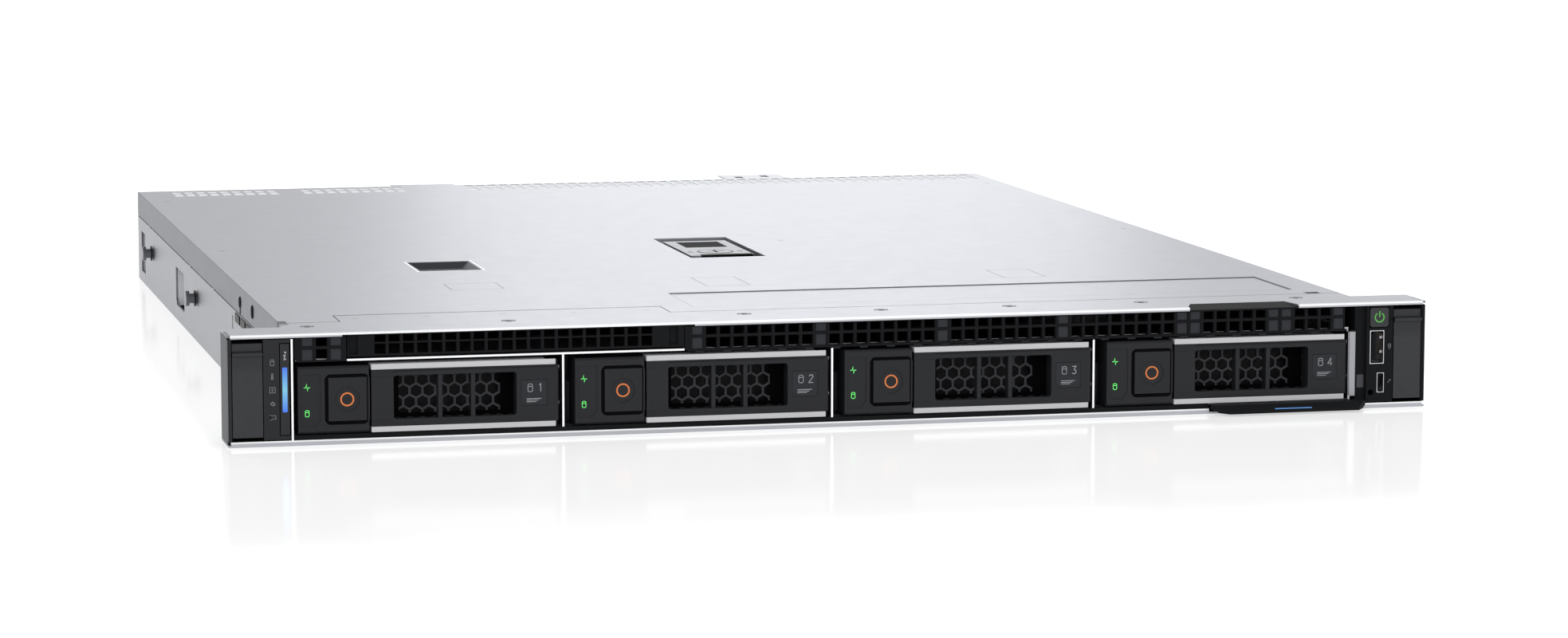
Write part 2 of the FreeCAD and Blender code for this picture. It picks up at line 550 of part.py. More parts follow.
def drive_cage():
    """Cage of the drive bays: floor, roof, dividers and the rolled post at the right."""
    roof = ("cage_roof", "cage_roof + sheet")
    solids = [
        block(("-body_half + joggle + sheet", "post_left + sheet"), ("0.4", "cage_end"), roof),
        block(("-body_half + sheet", "post_left + sheet"), ("hem_depth", "cage_end"),
              ("cage_floor", "cage_floor + sheet")),
        block(("post_left", "post_left + sheet"), ("1", "cage_end"), ("cage_floor", "cage_roof + sheet")),
        block(("post_left", "post_left + post_width"), ("1", "1 + sheet"), ("post_low", "post_high")),
        block(("post_left + post_width - sheet", "post_left + post_width"), ("1", "post_depth"),
              ("post_low", "post_high")),
    ]
    for number in range(SIZES["bay_count"] - 1):
        middle = "divider_one + %d * divider_pitch" % number
        solids.append(block((middle + " - sheet / 2", middle + " + sheet / 2"), ("0.6", "cage_end"),
                            ("cage_floor + sheet", "cage_roof")))
    vents = []
    for number in range(SIZES["bay_count"]):
        for column in range(2):
            left = "ring_first + 2 + %d * bay_pitch + %d * (cage_vent + 6)" % (number, column)
            for row in range(2):
                front = "cage_vent_first + %d * cage_vent_pitch" % row
                vents.append(block((left, left + " + cage_vent"), (front, front + " + cage_vent_length"),
                                   ("cage_roof - 1", "cage_roof + 2")))
    behind_grille = ("0", "grille_front + grille_thick + gap")
    reliefs = [
        block(("grille_left - gap", "body_half"), behind_grille, ("grille_low - gap", "cage_roof + 2")),
        block(("-body_half", "corner_right + slack"), behind_grille, ("grille_low", "cage_roof + 2")),
    ]
    return subpart("drive_cage", cut(fuse(*solids), *reliefs, *vents))


# ---------------------------------------------------------------- drive carriers
def bays(label, master):
    """Copy a carrier piece into every bay, as sub-parts numbered from the left."""
    doc.recompute()
    for number in range(SIZES["bay_count"]):
        piece = doc.addObject("Part::Feature", "bay_piece")
        piece.Shape = master.Shape
        bind(piece, Placement__Base__x="ring_first + %d * bay_pitch" % number)
        subpart("%s_%d" % (label, number + 1), piece)


def hexagons(left, right, low, high):
    """Hexagonal prisms, corners up, that fill a window with honeycomb cells."""
    cells = []
    pitch = value("mesh_pitch")
    rows = int((value(high) - value(low)) / (pitch * math.sqrt(3) / 2)) + 1
    columns = int((value(right) - value(left)) / pitch)
    cell = doc.addObject("Part::Prism", "cell")
    cell.Polygon = 6
    cell.Placement = Placement(Vector(), Rotation(Vector(1, 0, 0), -90) * Rotation(Vector(0, 0, 1), 30))
    bind(cell, Circumradius="(mesh_pitch - mesh_web) / 3 ^ 0.5", Height="mesh_plate + 2")
    start_y = value("block_depth") - 1
    for row in range(rows):
        for column in range(columns):
            across = value(left) + pitch * (column + 0.5 + 0.5 * (row % 2))
            if across + pitch / 2 < value(right):
                cells.append((across, start_y, value(low) + pitch * math.sqrt(3) / 2 * (row + 0.45)))
    return copies(cell, cells)


def carrier_frame():
    """Carrier: button block, honeycomb front wall, side rails, and the handle's hinge lugs and pin."""
    bezel = block(("block_left", "block_right"), ("handle_front", "block_depth + mesh_plate"),
                  ("block_low", "block_high"))
    bezel = chamfer_front(bezel, value("block_bevel"))
    around = "gap + 0.1"
    pocket = block(("button_left - (%s)" % around, "button_right + %s" % around),
                   ("0", "button_deep + button_travel + 0.6"),
                   ("button_low - (%s)" % around, "button_high + %s" % around))
    frame_step = block(("button_left - 1.5", "button_right + 0.4"), ("0", "handle_front + 0.3"),
                       ("button_low - 1.4", "button_high + 1.3"))
    led = profile("XZ_Plane", (("led_left", "led_low"), ("led_right - led_cut", "led_low"),
                               ("led_right", "led_low + led_cut * 1.3"), ("led_right", "led_high"),
                               ("led_left", "led_high")), "0", "handle_front + led_deep")
    bezel = cut(bezel, pocket, frame_step, led)
    plate = block(("block_right - 1", "rail_right"), ("block_depth", "block_depth + mesh_plate"),
                  ("block_low", "block_high"))
    plate = cut(plate,
                hexagons("opening_left - 2", "opening_right + 2", "opening_low - 1.6", "opening_high - 1"))
    rails = [block(span, ("block_depth", "rail_end"), ("drive_low", "rail_high"))
             for span in (("rail_left", "rail_left + rail_thick"),
                          ("rail_right - rail_thick", "rail_right"))]
    ledge = block(("rail_left", "block_left + 1"), ("block_depth", "block_depth + mesh_plate"),
                  ("block_low", "rail_high"))
    lugs = []
    for low, high in (("block_low", "block_low + lug_height"), ("block_high - lug_height", "block_high")):
        lugs.append(rod("z", "lug_r", ("pivot_x", "pivot_y", low), "%s - (%s)" % (high, low)))
        lugs.append(block(("pivot_x - lug_r", "pivot_x + lug_r"), ("pivot_y", "block_depth + 0.5"),
                          (low, high)))
    pin = rod("z", "pin_r", ("pivot_x", "pivot_y", "block_low"), "block_high - block_low")
    return fuse(bezel, plate, ledge, *rails, *lugs, pin)


def chamfer_front(base, size):
    """Chamfer the long top and bottom edges of a front block."""
    doc.recompute()
    chamfer = doc.addObject("Part::Chamfer", "chamfer")
    chamfer.Base = base
    edges = []
    front = min(vertex.Point.y for vertex in base.Shape.Vertexes)
    for number, edge in enumerate(base.Shape.Edges, start=1):
        ends = [vertex.Point for vertex in edge.Vertexes]
        along_x = abs(ends[0].x - ends[1].x) > 1
        if along_x and all(abs(point.y - front) < 0.01 for point in ends):
            edges.append((number, size, size))
    chamfer.Edges = edges
    return chamfer


def release_button():
    """Square release button with a round dished thumb mark."""
    front = "handle_front + button_back"
    body = block(("button_left", "button_right"), (front, "button_deep"), ("button_low", "button_high"))
    dish = rod("y", "dimple_r", ("0", "0", "ring_z"), front + " + dimple_deep")
    return cut(body, dish)


def round_corners(base, radius):
    """Fillet the edges of a front piece that run from front to back."""
    doc.recompute()
    rounded = doc.addObject("Part::Fillet", "rounded")
    rounded.Base = base
    edges = []
    for number, edge in enumerate(base.Shape.Edges, start=1):
        first, last = [vertex.Point for vertex in edge.Vertexes]
        if abs(first.y - last.y) > 1:
            edges.append((number, radius, radius))
    rounded.Edges = edges
    return rounded


def carrier_handle():
    """Black lever of the carrier with its three openings and the hinge barrel at its right end."""
    low = "handle_low + trim"
    high = "handle_high - trim"
    back = "handle_front + handle_thick"
    face = block(("handle_left", "pivot_x"), ("handle_front", back), (low, high))
    window = round_corners(block(("opening_left", "opening_right"), ("0", back + " + 1"),
                                 ("opening_low", "opening_high")), value("opening_r"))
    lips = [block(("handle_left", "pivot_x - 4"), ("handle_front + 1", "trim_deep"), span)
            for span in ((low, low + " + handle_lip"), (high + " - handle_lip", high))]
    ribs = [block((start, start + " + rib_width"), ("handle_front + 0.4", back + " + 2"),
                  ("opening_low - 0.5", "opening_high + 0.5")) for start in ("rib_one", "rib_two")]
    walls = [block(span, (back + " - 1", "trim_deep"), ("opening_low - 1", "opening_high + 1"))
             for span in (("opening_left - handle_lip", "opening_left"),
                          ("opening_right", "opening_right + handle_lip"))]
    end = block(("handle_left", "handle_left + handle_lip"), ("handle_front + 1", "trim_deep"), (low, high))
    pad = block(("handle_left", "opening_left"), ("handle_front - pad_proud", "handle_front + 1"),
                ("opening_low - 0.3", "opening_high - 0.3"))
    barrel_low = "block_low + lug_height + gap"
    barrel = rod("z", "barrel_r", ("pivot_x", "pivot_y", barrel_low),
                 "block_high - block_low - 2 * lug_height - 2 * gap")
    bore = rod("z", "pin_r + pin_fit", ("pivot_x", "pivot_y", "0"), "height")
    label = block(("opening_right + plate_left", "opening_right + plate_left + plate_width"),
                  ("0", "handle_front + plate_deep"), ("plate_low", "plate_high"))
    groove = block(("opening_left", "pivot_x + barrel_r + 1"), ("0", "handle_front + groove_deep"),
                   ("groove_low", "groove_high"))
    return cut(fuse(cut(face, window), *lips, *ribs, *walls, end, pad, barrel), bore, label, groove)


def handle_rails():
    """Bright rails along the top and bottom of the carrier lever."""
    rails = []
    front = "handle_front - trim_proud"
    for low, high in (("handle_low", "handle_low + trim"), ("handle_high - trim", "handle_high")):
        rails.append(fuse(
            block(("handle_left", "handle_right"), (front, front + " + trim_face"), (low, high)),
            block(("handle_left", "pivot_x - 3.4"), (front, "trim_deep"), (low, high))))
    return group(*rails)


def hard_drive():
    """Three-and-a-half-inch disk drive: cast body, raised lid and the connector tongue at its rear."""
    left, right = "rail_left + rail_thick", "rail_right - rail_thick"
    centre = "(rail_left + rail_right) / 2"
    end = "drive_start + drive_length"
    top = "drive_low + drive_height"
    case = block((left, right), ("drive_start", end), ("drive_low", top + " - lid_rise"))
    lid = block((left + " + lid_inset", right + " - lid_inset"),
                ("drive_start + lid_inset", end + " - lid_inset - 1"), (top + " - lid_rise - 0.2", top))
    mouth = block((centre + " - plug_left", centre + " + plug_right"), (end + " - plug_deep", end + " + 1"),
                  ("drive_low - 1", "drive_low + plug_high"))
    tongue = block((centre + " - plug_left + 2", centre + " + plug_right - 2"),
                   (end + " - plug_deep - 1", end + " - 1"), ("drive_low + 2.5", "drive_low + 3.7"))
    return fuse(cut(fuse(case, lid), mouth), tongue)


# ---------------------------------------------------------------- ears, buttons and tag
def left_control_housing():
    """Moulded housing of the left ear: indicator panel, channel for the light bar and outer cheek."""
    inner = "-body_half - 0.3"
    solids = [
        block(("icon_left", "strip_left"), ("housing_front", "housing_back"),
              ("housing_low", "housing_high")),
        block(("strip_left - 0.5", inner), ("strip_deep", "housing_back"), ("housing_low", "housing_high")),
        block(("strip_left - 0.5", inner), ("housing_front", "strip_deep + 1"),
              ("housing_low", "strip_low")),
        block(("strip_left - 0.5", inner), ("housing_front", "strip_deep + 1"),
              ("strip_high", "housing_high")),
        block(("-ear_half + sheet + 0.1", "icon_left + 1"), ("housing_back - 1", "housing_back"),
              ("housing_low", "housing_high")),
        block(("-ear_half + sheet + 0.1", "-latch_out - gap"), ("0.2", "housing_back"),
              ("housing_low", "housing_high")),
        block(("-ear_half", "-latch_out - gap"), ("0.2", "cheek"),
              ("low_hem + 0.1", "height - top_hem - 0.1")),
    ]
    hole = rod("y", "screw_r + gap", ("-rack_hole_x", "housing_back - 4", "rack_hole_z"), "6")
    return subpart("left_control_housing", cut(fuse(*solids), hole))


def right_control_housing():
    """Moulded housing of the right ear: power button, port openings, service hole and outer cheek."""
    panel = block(("panel_left", "panel_right"), ("housing_front", "housing_back"),
                  ("housing_low", "housing_high"))
    solids = [
        panel,
        block(("panel_right - 1", "ear_half - sheet - 0.1"), ("housing_back - 1", "housing_back"),
              ("housing_low", "housing_high")),
        block(("latch_out + gap", "ear_half - sheet - 0.1"), ("0.2", "housing_back"),
              ("housing_low", "housing_high")),
        block(("latch_out + gap", "ear_half"), ("0.2", "cheek"),
              ("low_hem + 0.1", "height - top_hem - 0.1")),
    ]
    tools = [
        block(("panel_left - 1", "panel_step"), ("0", "housing_front + step_back"), ("0", "height")),
        block(("power_left - gap", "power_right + gap"), ("0", "power_deep + power_travel + gap"),
              ("power_low - gap", "power_high + gap")),
        block(("usb_left", "usb_right"), ("0", "usb_deep"), ("usb_low", "usb_high")),
        block(("service_left", "service_right"), ("0", "service_deep"), ("service_low", "service_high")),
        rod("y", "reset_r", ("reset_x", "0", "reset_z"), "reset_deep"),
        rod("y", "screw_r + gap", ("rack_hole_x", "housing_back - 4", "rack_hole_z"), "6"),
    ]
    return subpart("right_control_housing", cut(fuse(*solids), *tools))


def slam_latch(side):
    """Lever of one ear: grip lip near its top, bore for its pin."""
    corners = (("housing_front", "latch_low"), ("housing_front", "lip_low - 0.3"),
               ("-latch_lip", "lip_low"),
               ("-latch_lip", "lip_high"), ("housing_front + 0.5", "lip_high + 0.5"),
               ("housing_front + 0.5", "latch_high"), ("latch_back", "latch_high"),
               ("latch_back + 0.6", "latch_pivot_z"), ("latch_back", "latch_pivot_z - 5"),
               ("housing_front + 3", "latch_pivot_z - 9"), ("housing_front + 3", "latch_low"))
    start = "-latch_out" if side < 0 else "latch_in"
    lever = profile("YZ_Plane", corners, start, "latch_out - latch_in")
    bore = rod("x", "latch_pin_r + pin_fit", (start + " - 1", "latch_pivot_y", "latch_pivot_z"),
               "latch_out - latch_in + 2")
    return cut(lever, bore)


def front_keys():
    """Identity key with its light bar, and the power button."""
    identity = block(("strip_left + gap", "-body_half - 2 * gap"), ("housing_front - 0.1", "key_deep"),
                     ("strip_low + gap", "strip_high - gap"))
    subpart("identity_key", identity)
    power = block(("power_left", "power_right"), ("housing_front - 0.3", "power_deep"),
                  ("power_low", "power_high"))
    subpart("power_button", round_corners(power, value("power_corner")))


def port_shells():
    """Steel shells of the two front ports."""
    usb = cut(block(("usb_left", "usb_right"), ("housing_front - 0.2", "usb_deep"),
                    ("usb_low", "usb_high")),
              block(("usb_left + usb_wall", "usb_right - usb_wall"), ("-1", "usb_deep - 1"),
                    ("usb_low + usb_wall", "usb_high - usb_wall")))
    service = cut(
        block(("service_left", "service_right"), ("housing_front - 0.2", "service_deep"),
              ("service_low", "service_high")),
        block(("service_left + service_wall", "service_right - service_wall"), ("-1", "service_deep - 1"),
              ("service_low + service_wall", "service_high - service_wall")))
    return subpart("port_shells", group(usb, service))


def information_tag():
    """Pull-out tag: thin blade under the cage and a chamfered grip in front."""
    across = ("tag_left + tag_edge", "panel_left - 2 * gap")
    blade = block(across, ("-1", "tag_length"), ("tag_low", "tag_high"))
    grip = profile("YZ_Plane", (
        ("-tag_reach", "sheet + 0.1"), ("-tag_reach", "tag_low + 0.9"), ("-tag_reach / 2", "tag_lip_high"),
        ("-gap", "tag_lip_high"), ("-gap", "low_hem"), ("-gap - tag_reach / 4", "low_hem"),
        ("-tag_reach * 0.6", "sheet + 0.1")), "tag_left", "tag_right - tag_left")
    plan = profile("XY_Plane", (
        ("tag_left", "0"), ("tag_left", "-tag_reach * 0.3"), ("tag_left + tag_corner", "-tag_reach"),
        ("tag_right - tag_corner", "-tag_reach"), ("tag_right", "-tag_reach * 0.3"), ("tag_right", "0")),
        "0", "tag_lip_high + 1")
    return subpart("information_tag", fuse(blade, common(grip, plan)))


# ---------------------------------------------------------------- top cover
def top_cover():
    """Removable cover: sheet with its recesses and vents, side skirts and the latch pan below it."""
    plate = ("height - sheet", "height")
    through = ("height - 2", "height + 1")
    top = block(("-body_half", "body_half"), ("strip_depth + seam", "depth"), plate)
    tongue = block(("tongue_left", "tongue_right"), ("depth - 1", "depth + tongue_reach"), plate)
    tab = block(("tab_left", "tab_right"), ("depth - 1", "depth + tab_reach"), plate)
    recess = funnel("sheet", "height - sheet - dimple_drop", "height - 0.01")
    tools = [
        block(("step_left - seam", "step_right + seam"), ("strip_depth", "step_depth + seam"), through),
        block(("slot_left", "slot_right"), ("strip_depth", "strip_depth + slot_reach"), through),
        block(("label_left", "label_right"), ("label_front", "label_back"),
              ("height - label_deep", "height + 1")),
        block(("pan_left", "pan_right"), ("pan_front", "pan_back"), through),
        funnel("0", "height - dimple_drop", "height + 0.01"),
    ]
    for left, front in (("tab_left + 6", "depth + 2"), ("tab_left + 20", "depth + 5")):
        tools.append(block((left, left + " + tab_slot_width"), (front, front + " + tab_slot_length"),
                           through))
    sheet = cut(fuse(top, tongue, tab, recess), *tools, *roof_vents())
    left, right = [block(span, ("strip_depth + seam", "depth"), ("skirt_bottom", "height - sheet"))
                   for span in (("-body_half", "-body_half + sheet"), ("body_half - sheet", "body_half"))]
    outside = "-body_half - 1"
    stem = ("keyhole_y - keyhole_stem / 2", "keyhole_y + keyhole_stem / 2")
    left = cut(left, rod("x", "oval_r", (outside, "oval_y", "oval_z"), "3"),
               rod("x", "keyhole_r", (outside, "keyhole_y", "keyhole_z"), "3"),
               block((outside, "-body_half + 2"), stem, ("skirt_bottom - 1", "keyhole_z")))
    return subpart("top_cover", group(sheet, left, right, latch_pan()))


def funnel(around, low, high):
    """Finger recess with sloping sides: a wedge that widens upwards, grown all round by a wall."""
    wedge = doc.addObject("Part::Wedge", "funnel")
    wedge.Placement = Placement(Vector(), Rotation(Vector(1, 0, 0), 90))
    foot = "dimple_slope - (%s)" % around
    return bind(
        wedge, Placement__Base__z=low, Ymin="0", Ymax="%s - (%s)" % (high, low),
        Xmin="dimple_left + " + foot, Xmax="dimple_right - (%s)" % foot,
        X2min="dimple_left - (%s)" % around, X2max="dimple_right + %s" % around,
        Zmin="-dimple_back + " + foot, Zmax="-dimple_front - (%s)" % foot,
        Z2min="-dimple_back - (%s)" % around, Z2max="-dimple_front + %s" % around)


def latch_pan():
    """Pressed pan below the cover sheet, with a flange all round."""
    floor = "height - sheet - pan_deep"
    dish = block(("pan_left - sheet", "pan_right + sheet"), ("pan_front - sheet", "pan_back + sheet"),
                 (floor, "height - sheet"))
    flange = block(("pan_left - pan_flange", "pan_right + pan_flange"),
                   ("pan_front - pan_flange", "pan_back + pan_flange"),
                   ("height - 2 * sheet", "height - sheet"))
    inside = block(("pan_left", "pan_right"), ("pan_front", "pan_back"), (floor + " + sheet", "height"))
    return cut(fuse(dish, flange), inside)


VENT_RUNS = ((-200.9, 9), (-136.9, 9), (-53.2, 45))  # left edge and count of each run of vent slots


def roof_vents():
    """Two rows of vent slots along the cover's rear edge, in three runs."""
    slots = []
    half = "(vent_length - vent_bridge) / 2"
    for first, count in VENT_RUNS:
        for number in range(count):
            left = "%s + %d * vent_pitch" % (first, number)
            for front in ("vent_front", "vent_front + %s + vent_bridge" % half):
                slots.append(block((left, left + " + vent_width"), (front, front + " + " + half),
                                   ("height - 2", "height + 1")))
    return slots


def cover_latch():
    """Cover lever: a plate hinged at its rear, with a view slot, a lock seat and its hinge barrels."""
    arm_width = "4"
    plate = block(("lever_left", "lever_right"), ("lever_front", "lever_hinge - hinge_drop"),
                  ("lever_top - lever_thick", "lever_top"))
    slot = block(("view_left", "view_right"), ("lever_hinge - view_front", "lever_hinge - view_back"),
                 ("height - 4", "height"))
    seat = rod("z", "lock_r + slack", ("lock_x", "lock_y", "lever_top - 1"), "2")
    core = rod("z", "lock_core_r + slack / 2", ("lock_x", "lock_y", "height - 6"), "8")
    arms = []
    for left in ("lever_left", "lever_right - " + arm_width):
        arms.append(block((left, "%s + %s" % (left, arm_width)), ("lever_hinge - 4", "lever_hinge"),
                          ("lever_hinge_z - 1.2", "lever_hinge_z + 1.4")))
        arms.append(rod("x", "1.6", (left, "lever_hinge", "lever_hinge_z"), arm_width))
    pins = [rod("x", "0.9", ("pan_left + slack / 2", "lever_hinge", "lever_hinge_z"),
                "lever_left - pan_left"),
            rod("x", "0.9", ("lever_right - 0.5", "lever_hinge", "lever_hinge_z"),
                "pan_right - lever_right + 0.5 - slack / 2")]
    skirt = [block((left, left + " + sheet"), ("lever_front + 4", "lever_hinge - 5"),
                   ("lever_top - 3.4", "lever_top - 1")) for left in ("lever_left", "lever_right - sheet")]
    return subpart("cover_latch", cut(fuse(plate, *arms, *pins, *skirt), slot, seat, core))


def cover_lock():
    """Quarter-turn lock of the cover lever: slotted disc with a stem and a cam."""
    disc = rod("z", "lock_r", ("lock_x", "lock_y", "lever_top - 1 + 0.02"), "1.1")
    stem = rod("z", "lock_core_r", ("lock_x", "lock_y", "lever_top - 3.4"), "3")
    sunk = ("lever_top - 0.6", "lever_top + 1")
    arm = "lock_r / 2"
    across = block(("lock_x - " + arm, "lock_x + " + arm),
                   ("lock_y - lock_slot / 2", "lock_y + lock_slot / 2"), sunk)
    along = block(("lock_x - lock_slot / 2", "lock_x + lock_slot / 2"),
                  ("lock_y - " + arm, "lock_y + " + arm), sunk)
    return subpart("cover_lock", cut(fuse(disc, stem), across, along))


# ---------------------------------------------------------------- cooling
FAN_COUNT = 4
BLADE_COUNT = 5


def fan_frames():
    """Four square fan housings with their rear motor mounts."""
    half = "fan_size / 2"
    back = "fan_front + fan_deep"
    housing = block(("-" + half, half), ("fan_front", back), ("fan_z - " + half, "fan_z + " + half))
    bore = rod("y", "fan_bore", ("0", "fan_front - 1", "fan_z"), "fan_deep + 2")
    mount = rod("y", "hub_r + 0.5", ("0", back + " - strut_deep", "fan_z"), "strut_deep")
    reach = "(fan_bore + fan_wall / 2)"
    deep = (back + " - strut_deep", back)
    struts = [block(("-" + reach, reach), deep, ("fan_z - strut_width / 2", "fan_z + strut_width / 2")),
              block(("-strut_width / 2", "strut_width / 2"), deep,
                    ("fan_z - " + reach, "fan_z + " + reach))]
    axle = rod("y", "axle_r", ("0", "fan_front + 8", "fan_z"), "fan_deep - 8")
    one = fuse(cut(housing, bore), mount, axle, *struts)
    places = [(value("fan_first + %d * fan_pitch" % number), 0, 0) for number in range(FAN_COUNT)]
    return subpart("fan_frames", copies(one, places))


def fan_rotors():
    """Four rotors: a cup-shaped hub with five twisted blades."""
    hub = cut(rod("y", "hub_r", ("0", "fan_front + 4", "fan_z"), "fan_deep - 4 - strut_deep - gap"),
              rod("y", "axle_r + pin_fit", ("0", "fan_front + 7", "fan_z"), "fan_deep"))
    doc.recompute()
    inner = blade_section(value("hub_r") - 0.8, value("root_pitch"))
    outer = blade_section(value("blade_r"), value("tip_pitch"))
    blade = Part.makeLoft([inner, outer], True, True)
    centre = Vector(0, value("fan_front + fan_deep / 2 - 1"), value("fan_z"))
    blades = []
    for number in range(BLADE_COUNT):
        turned = blade.copy()
        turned.rotate(Vector(), Vector(0, 1, 0), 360 / BLADE_COUNT * number)
        turned.translate(centre)
        blades.append(turned)
    wheel = doc.addObject("Part::Feature", "wheel")
    wheel.Shape = hub.Shape.fuse(blades)
    for number in range(FAN_COUNT):
        rotor = doc.addObject("Part::Feature", "rotor")
        rotor.Shape = wheel.Shape
        bind(rotor, Placement__Base__x="fan_first + %d * fan_pitch" % number)
        subpart("fan_rotor_%d" % (number + 1), rotor)


def blade_section(radius, pitch):
    """Thin rectangle across a blade at one radius, pitched by an angle in degrees."""
    half_long = value("blade_reach") / 2
    half_thin = value("blade_thick") / 2
    turn = math.radians(pitch)
    corners = []
    for along, across in ((-half_long, -half_thin), (half_long, -half_thin),
                          (half_long, half_thin), (-half_long, half_thin)):
        y = along * math.cos(turn) - across * math.sin(turn)
        x = along * math.sin(turn) + across * math.cos(turn)
        corners.append(Vector(x, y, radius))
    return Part.makePolygon(corners + corners[:1])


# ---------------------------------------------------------------- boards
AIR_SLOTS = 4


def drive_backplane():
    """Board behind the drives, with one connector for each drive and air slots."""
    centre = "ring_first + (rail_left + rail_right) / 2"
    board = block(("-body_half + joggle + sheet + slack", "post_left - gap"),
                  ("backplane_y", "backplane_y + board_thick"),
                  ("cage_floor + sheet + slack", "cage_roof - slack"))
    end = "drive_start + drive_length"
    plugs = []
    slots = []
    for number in range(SIZES["bay_count"]):
        middle = centre + " + %d * bay_pitch" % number
        across = (middle + " - plug_left + 0.5", middle + " + plug_right - 0.5")
        plugs.append(block(across, (end + " - plug_deep + 0.4", "backplane_y + 0.5"),
                           ("drive_low + 0.6", "drive_low + 2.2")))
        plugs.append(block(across, (end + " + gap", "backplane_y + 0.5"),
                           ("drive_low + 0.6", "drive_low + plug_high - 0.5")))
        for place in range(AIR_SLOTS):
            left = middle + " + %d" % (-38 + 20 * place)
            slots.append(block((left, left + " + 14"), ("backplane_y - 1", "backplane_y + 3"),
                               ("14", "27")))
    return subpart("drive_backplane", fuse(cut(board, *slots), *plugs))


def system_board():
    """Main board."""
    board = block(("board_left", "board_right"), ("board_front", "board_back"), ("board_low", "board_top"))
    notch = block(("board_right - board_notch", "board_right + 1"),
                  ("board_front - 1", "board_front + board_notch_length"), ("0", "height"))
    holes = [rod("z", "board_screw_r", (across, along, "board_low - 1"), "board_thick + 2")
             for across, along in BOARD_POSTS]
    return subpart("system_board", cut(board, notch, *holes))


MODULE_COUNT = 4
COIL_COUNT = 6
CAPACITOR_COUNT = 3
# Plain parts on the main board: left edge, width, distance from the board's front edge, length, height.
BOARD_PARTS = {
    "processor_socket": (52, 46, 44, 44, "socket_high"), "bridge_chip": (-30, 28, 130, 28, 6),
    "control_chip": (-66, 18, 80, 18, 2), "drive_plug": (-34, 18, 2, 10, 8),
    "power_plug": (30, 40, 2, 8, 10),
}


def on_board(left, width, start, length, high):
    """Box that stands on the main board, placed from the board's front edge."""
    front = "board_front + %s" % start
    return block((left, "%s + %s" % (left, width)), (front, "%s + %s" % (front, length)),
                 ("board_top", "board_top + %s" % high))


def board_components():
    """Processor socket, memory sockets, chips, coils, cell holder and plugs on the main board."""
    pieces = [on_board(*places) for places in BOARD_PARTS.values()]
    for number in range(MODULE_COUNT):
        middle = "memory_first + %d * memory_pitch" % number
        body = on_board(middle + " - 3", 6, "memory_start", "memory_length", "memory_seat")
        ends = [on_board(middle + " - 2.5", 5, start, "memory_clip", "memory_tower")
                for start in ("memory_start", "memory_start + memory_length - memory_clip")]
        groove = block((middle + " - module_thick / 2 - 0.25", middle + " + module_thick / 2 + 0.25"),
                       ("board_front + memory_start + 2", "board_front + memory_start + memory_length - 2"),
                       ("board_top + module_low - slack", "board_top + 20"))
        pieces.append(cut(fuse(body, *ends), groove))
    pieces += [on_board(22, 7, 28 + 11 * number, 8, 6) for number in range(COIL_COUNT)]
    pieces.append(rod("z", "10", ("-40", "board_front + 55", "board_top"), "4"))
    for number in range(CAPACITOR_COUNT):
        pieces.append(rod("z", "3.5", (str(-60 + 12 * number), "board_front + 32", "board_top"), "9"))
    return subpart("board_components", group(*pieces))


def memory_modules():
    """Memory modules standing in their sockets."""
    modules = []
    low = "board_top + module_low"
    start = "board_front + memory_start + 2.8"
    end = "board_front + memory_start + memory_length - 2.8"
    for number in range(MODULE_COUNT):
        middle = "memory_first + %d * memory_pitch" % number
        card = block((middle + " - module_thick / 2", middle + " + module_thick / 2"), (start, end),
                     (low, low + " + module_height"))
        chips = [block((middle + " - 1.6", middle + " + 1.6"),
                       (start + " + %d" % (11 + 29 * place), start + " + %d" % (31 + 29 * place)),
                       (low + " + 12", low + " + 24")) for place in range(4)]
        modules.append(fuse(card, *chips))
    return subpart("memory_modules", group(*modules))


FIN_COUNT = 25


def processor_heatsink():
    """Finned heatsink clamped on the processor socket."""
    low = "board_top + socket_high"
    along = ("board_front + sink_start", "board_front + sink_start + sink_length")
    base = block(("sink_left", "sink_left + sink_width"), along, (low, low + " + sink_base"))
    fins = []
    for number in range(FIN_COUNT):
        left = "sink_left + %d * fin_pitch" % number
        fins.append(block((left, left + " + fin_thick"), along,
                          (low + " + sink_base - 1", "height - sink_drop")))
    return subpart("processor_heatsink", fuse(base, *fins))


def air_shroud():
    """Plastic duct that leads the fans' air over the heatsink and the memory."""
    start = "fan_front + fan_deep"
    end = "board_front + shroud_length"
    roof = block(("shroud_left + 1", "shroud_right + 0.4"), (start + " + 1", end),
                 ("shroud_top - 1.4", "shroud_top"))
    spans = (("shroud_left", "shroud_left + shroud_wall"), ("shroud_right - shroud_wall", "shroud_right"))
    sides = [block(span, (start + " + 8", end + " - 2"),
                   ("shroud_low", "shroud_top - 0.7")) for span in spans]
    feet = [block(span, (end + " - 30", end + " - 10"), ("board_top", "shroud_low + 1")) for span in spans]
    return subpart("air_shroud", fuse(roof, *sides, *feet))


def riser_card():
    """Riser board standing on the main board, with its two card sockets."""
    front = "depth - riser_from_rear"
    card = block(("riser_x - 0.8", "riser_x + 0.8"), (front, front + " + riser_length"),
                 ("board_top", "riser_high"))
    along = (front + " + 4", front + " + riser_length - 4")
    sockets = [block(span, along, ("riser_high - 10", "riser_high - 2"))
               for span in (("riser_x - 8.3", "riser_x - 0.5"), ("riser_x + 0.5", "riser_x + 8.3"))]
    return subpart("riser_card", fuse(card, *sockets))


COVER_VENTS = 7


